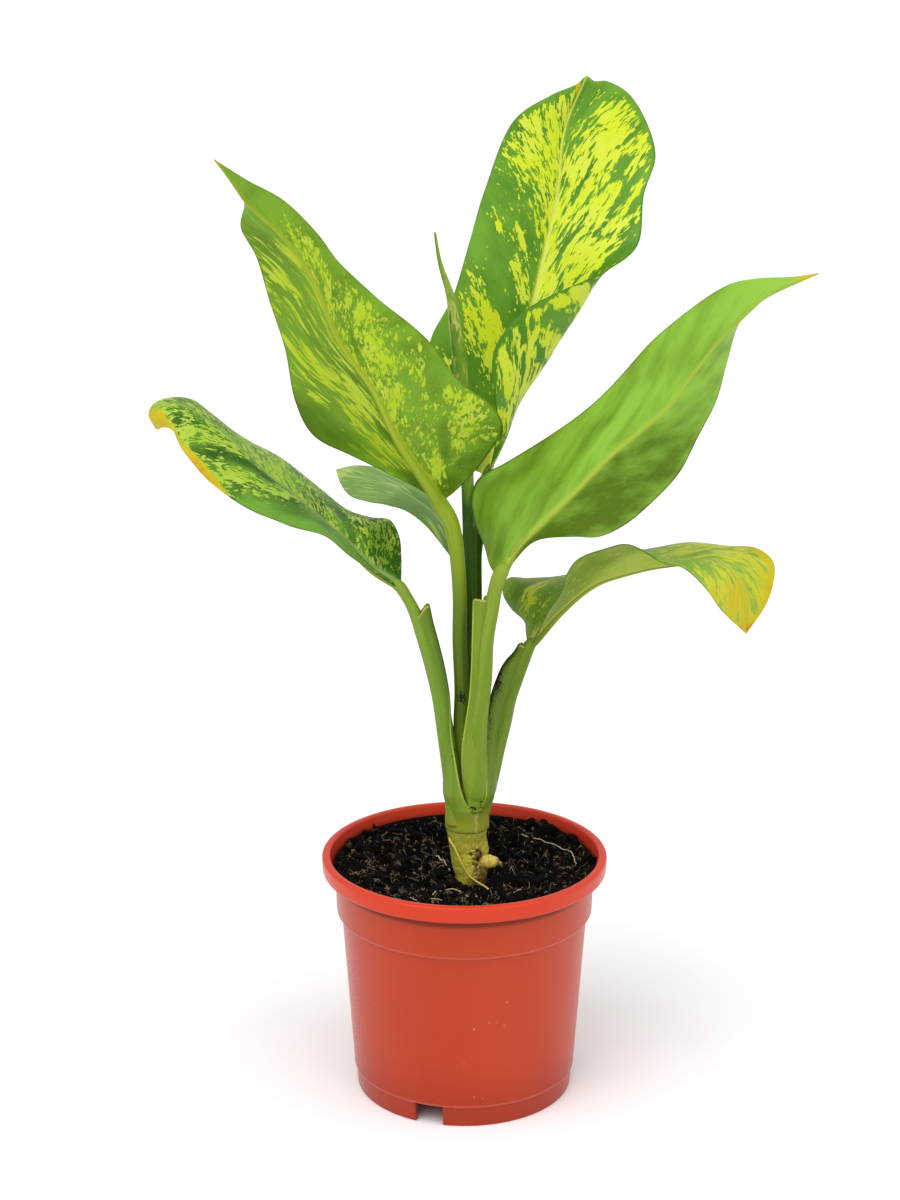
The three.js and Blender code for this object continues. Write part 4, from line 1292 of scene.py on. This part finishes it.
NEW_LEAF_LOOK = SimpleNamespace(
    yellow=(186, 192, 96), rib_colour=(186, 192, 96), fine=0.6, freckles=0.3, seed=3.3
)
SPEAR = [
    (-12, 2, 364, 0.5), (-10, 2, 352, 0.9), (-6, 2, 339, 1.8), (-4, 2, 325, 2.7),
    (-2, 2, 311, 2.9), (0, 2, 289, 2.8), (1, 3, 264, 2.6), (2, 3, 213, 2.5), (2, 3, 118, 2.5),
]
CANE = [
    (1, 1, 150, 1.5), (1, 1, 140, 4), (1, 0, 130, 6.8), (1, 0, 124, 8.2), (1, 0, 118, 8.5),
    (1, 0, 113, 8.3), (1, 0, 110.5, 8), (2, 0, 106, 8.1), (2, -1, 101, 7.6), (3, -2, 95, 6.8),
    (2, -2, 88, 6), (2, -2, 60, 4.5),
]
CANE_RING = 115.2  # the height of the lowest sheath's scar
FAINT_RING = 100  # the height of an older, fainter one
CANE_SCAR = (-60, 103, 0.5, 5.0)  # degrees round the cane, height, reach round and up
SIDE_ROOT = [
    (5, -3, 101, 2.6), (9, -4, 101.4, 2.6), (11.6, -4.4, 101.3, 2.6), (13.4, -4.7, 101, 2.1),
    (14.4, -4.9, 100.7, 1.2), (16, -5.3, 100, 0.9), (17.6, -5.9, 97.6, 0.8), (18.8, -6.4, 92, 0.5),
]
THREAD_ROOT = [
    (-5.2, -2.4, 111.8), (-6.2, -4.2, 111.3), (-4.2, -7.0, 108.8), (-1.2, -8.8, 102.6),
    (2.1, -9.2, 96.8), (6.2, -10.8, 94.2), (8.4, -13.6, 94), (10.2, -17, 93.6), (11.4, -19, 90),
]


def build_spear(steps=230, sides=48):
    """The furled new leaf: a rolled blade, whose outer margin winds round it as a step."""
    curve = Curve(SPEAR[::-1])
    seam = 2.6 + 1.6 * np.linspace(0, 1, steps)[:, None]
    past_seam = np.mod(turns(sides) - seam, 2 * math.pi) / (2 * math.pi)
    rings = rings_along(curve.even(steps), sides, 1.06 - 0.2 * past_seam)
    across = past_seam * 17
    along = np.linspace(0, curve.length, steps)[:, None]
    blotched = bell(rings[..., 2] - 331, 13)
    # Painted shade: low down among the stalks the new leaf is darker and less pale.
    painted_shade = 1 - smooth(rings[..., 2], 235, 275)
    pale = 0.36 + 0.22 * blotched - 0.4 * painted_shade
    dark = 0.1 + 0.5 * bell(across, 0.7) + painted_shade
    shell = Shell()
    shell.tube(rings, 0, fields(across, along, 0), fields(pale, dark, 0.03 * blotched))
    paint = leaf_paint("new_leaf", NEW_LEAF_LOOK, (124, 166, 46), (50, 86, 14), 0.08, 0.1)
    shell.piece("new_leaf_grown", "furled_new_leaf", "new_leaf", paint)


def build_cane(steps=260, sides=110):
    """The short stem with its ring scars and its pitted scar, and the two roots it bears."""
    spine = Curve(CANE[::-1]).even(steps)
    height = spine[:, 2:3]
    angle = turns(sides)
    plain = rings_along(spine, sides)
    ring = 0.3 * bell(height - CANE_RING + 0.6 * np.cos(angle), 0.35)
    faint_ring = 0.18 * bell(height - FAINT_RING - 0.8 * np.sin(angle), 0.4)
    degrees, scar_height, wide, tall = CANE_SCAR
    past = angle - math.radians(degrees) - 2 * math.pi
    scar = bell(past, wide) * bell(height - scar_height, tall)
    pits = np.clip(lump(plain, 1.2, 9.4) + 0.15, 0, 1)
    uneven = 0.4 * lump(plain, 6, 2.2) + 0.2 * lump(plain, 1.8, 6.1)
    inset = ring + faint_ring + scar * (0.35 + 2.2 * pits)
    rings = rings_along(spine, sides, 1 + (uneven - inset) / spine[:, 3:])
    around = np.minimum(angle, 2 * math.pi - angle) * 8
    green = 0.5 * smooth(height, 104, 124) + 0.3 * bell(angle - 3.3, 0.7)
    brown_side = smooth(np.cos(angle + 0.9), 0.2, 1) * smooth(101 - height, 0, 6)
    brown = 0.46 * smooth(102 - height, 0, 9) + 0.3 * brown_side
    scarred = scar * (0.8 + 1.2 * pits) + 1.6 * ring + brown
    withered = 0.35 * smooth(98 - height, 0, 8)
    shell = Shell()
    shell.tube(rings, 0, fields(around, height, 0), fields(green, scarred, withered))

    spine = Curve(SIDE_ROOT).even(60)
    rings = rings_along(spine, 28, first_side=(0.0, 1.0, 0.0))
    rings = rings + (rings - spine[:, None, :3]) * (0.22 * lump(rings, 1.6, 4.4))[..., None]
    brown = 0.72 * smooth(rings[..., 0], 12.6, 14.2)
    shell.tube(rings, 0, rings, fields(0, brown, 0.62))
    spine = np.column_stack([Curve(THREAD_ROOT).even(60), np.linspace(0.5, 0.3, 60)])
    rings = rings_along(spine, 10)
    shell.tube(rings, 0, rings, (0, 0, 0.9))
    shell.piece("cane_grown", "cane", "cane", cane_paint())


# Loose roots on the compost: x and y along each, its radius and how far it arches up.
SURFACE_ROOTS = [
    ([(-13.4, -25), (-9.3, -18), (-3.9, -17.2), (4.8, -21.7)], 0.2, 1.0),
    ([(-12.1, 21.9), (-9.5, 15.3), (-6.5, 6.5)], 0.25, 1.5),
    (
        [(21.3, 38.9), (28.5, 31.7), (33.6, 26.9), (39.9, 23.1), (45.1, 13.6), (47.1, 2.4)],
        0.2,
        1.2,
    ),
    ([(-24, -30), (-19, -33), (-12, -31), (-6, -34)], 0.15, 0.8),
    ([(16, -26), (22, -22), (26, -24)], 0.14, 1.0),
]


def build_roots(steps=80):
    """Thin roots, each laid over the crumbs as they are on average along it."""
    shell = Shell()
    for route, radius, rise in SURFACE_ROOTS:
        path = Curve(np.column_stack([route, np.zeros(len(route))])).even(steps)
        wander = lump(path, 4, radius * 50)
        path[:, :2] += 0.6 * np.stack([wander, lump(path, 4, radius * 90)], -1)
        crumbs = soil_relief(*path[:, :2].T)
        crumbs = np.convolve(np.pad(crumbs, 6, "edge"), np.full(13, 1 / 13), "valid")
        lift = rise * np.sin(np.linspace(0, math.pi, steps)) + 0.3 * wander
        path[:, 2] = crumbs + radius + 0.6 + lift
        spine = np.column_stack([path, np.full(steps, radius)])
        shell.tube(rings_along(spine, 8, first_side=(0.2, 0.1, 0.9)))
    shell.piece("surface_roots", None, "cane", root_paint())


# -------------------------------------------------------------------- floor, light, camera

CAMERA_FROM_AXIS = (-3.03, -1000.0, 510.5)
CAMERA_DOWN = 0.288  # radians below the horizon
CAMERA_LEFT = 0.003  # radians turned to the left
FOCAL_LENGTH = 76.67  # mm, for the 36 mm long side of the picture
WHITE = (1.0, 1.0, 1.0, 1.0)
FLOOR_WHITE = (0.97, 0.97, 0.97, 1.0)
FLOOR_REACH = 30.0  # metres from the middle to each side


def build_floor():
    mesh = bpy.data.meshes.new("floor")
    corners = [(FLOOR_REACH * x, FLOOR_REACH * y, 0) for x, y in ((-1, -1), (1, -1), (1, 1), (-1, 1))]
    mesh.from_pydata(corners, [], [(0, 1, 2, 3)])
    paint = Paint("floor", Specular_IOR_Level=0.2, Base_Color=FLOOR_WHITE, Roughness=0.8)
    mesh.materials.append(paint.material)
    floor = placed("floor", mesh)


def wide_sun(name, towards, strength):
    """A far, very wide light, which shades softly and lights the floor evenly."""
    data = bpy.data.lights.new(name, "SUN")
    data.angle = math.radians(55)
    data.energy = strength
    light = placed(name, data)
    light.rotation_euler = Vector(towards).to_track_quat("-Z", "Y").to_euler()


def build_light():
    scene = bpy.context.scene
    world = bpy.data.worlds.new("studio")
    world.use_nodes = True
    background = world.node_tree.nodes["Background"]
    background.inputs["Color"].default_value = WHITE
    background.inputs["Strength"].default_value = 0.6
    scene.world = world
    wide_sun("key", (0.5, 0.75, -1.3), 1.7)
    wide_sun("fill", (-0.8, 0.5, -0.9), 0.75)
    scene.view_settings.view_transform = "Standard"
    scene.view_settings.look = "None"


def build_camera():
    data = bpy.data.cameras.new("camera")
    data.sensor_width = 36.0
    data.lens = FOCAL_LENGTH
    data.clip_start = 0.05
    data.clip_end = 100.0
    camera = placed("camera", data)
    camera.location = Vector(np.array(CAMERA_FROM_AXIS) * MM + POT_AXIS)
    camera.rotation_euler = (math.pi / 2 - CAMERA_DOWN, 0.0, CAMERA_LEFT)
    bpy.context.scene.camera = camera


build_camera()
build_light()
build_floor()
build_pot()
build_compost()
build_crumbs()
build_fibres()
build_cane()
build_spear()
build_roots()
for leaf_name, leaf in LEAVES.items():
    build_leaf(leaf_name, leaf)

bpy.context.view_layer.update()
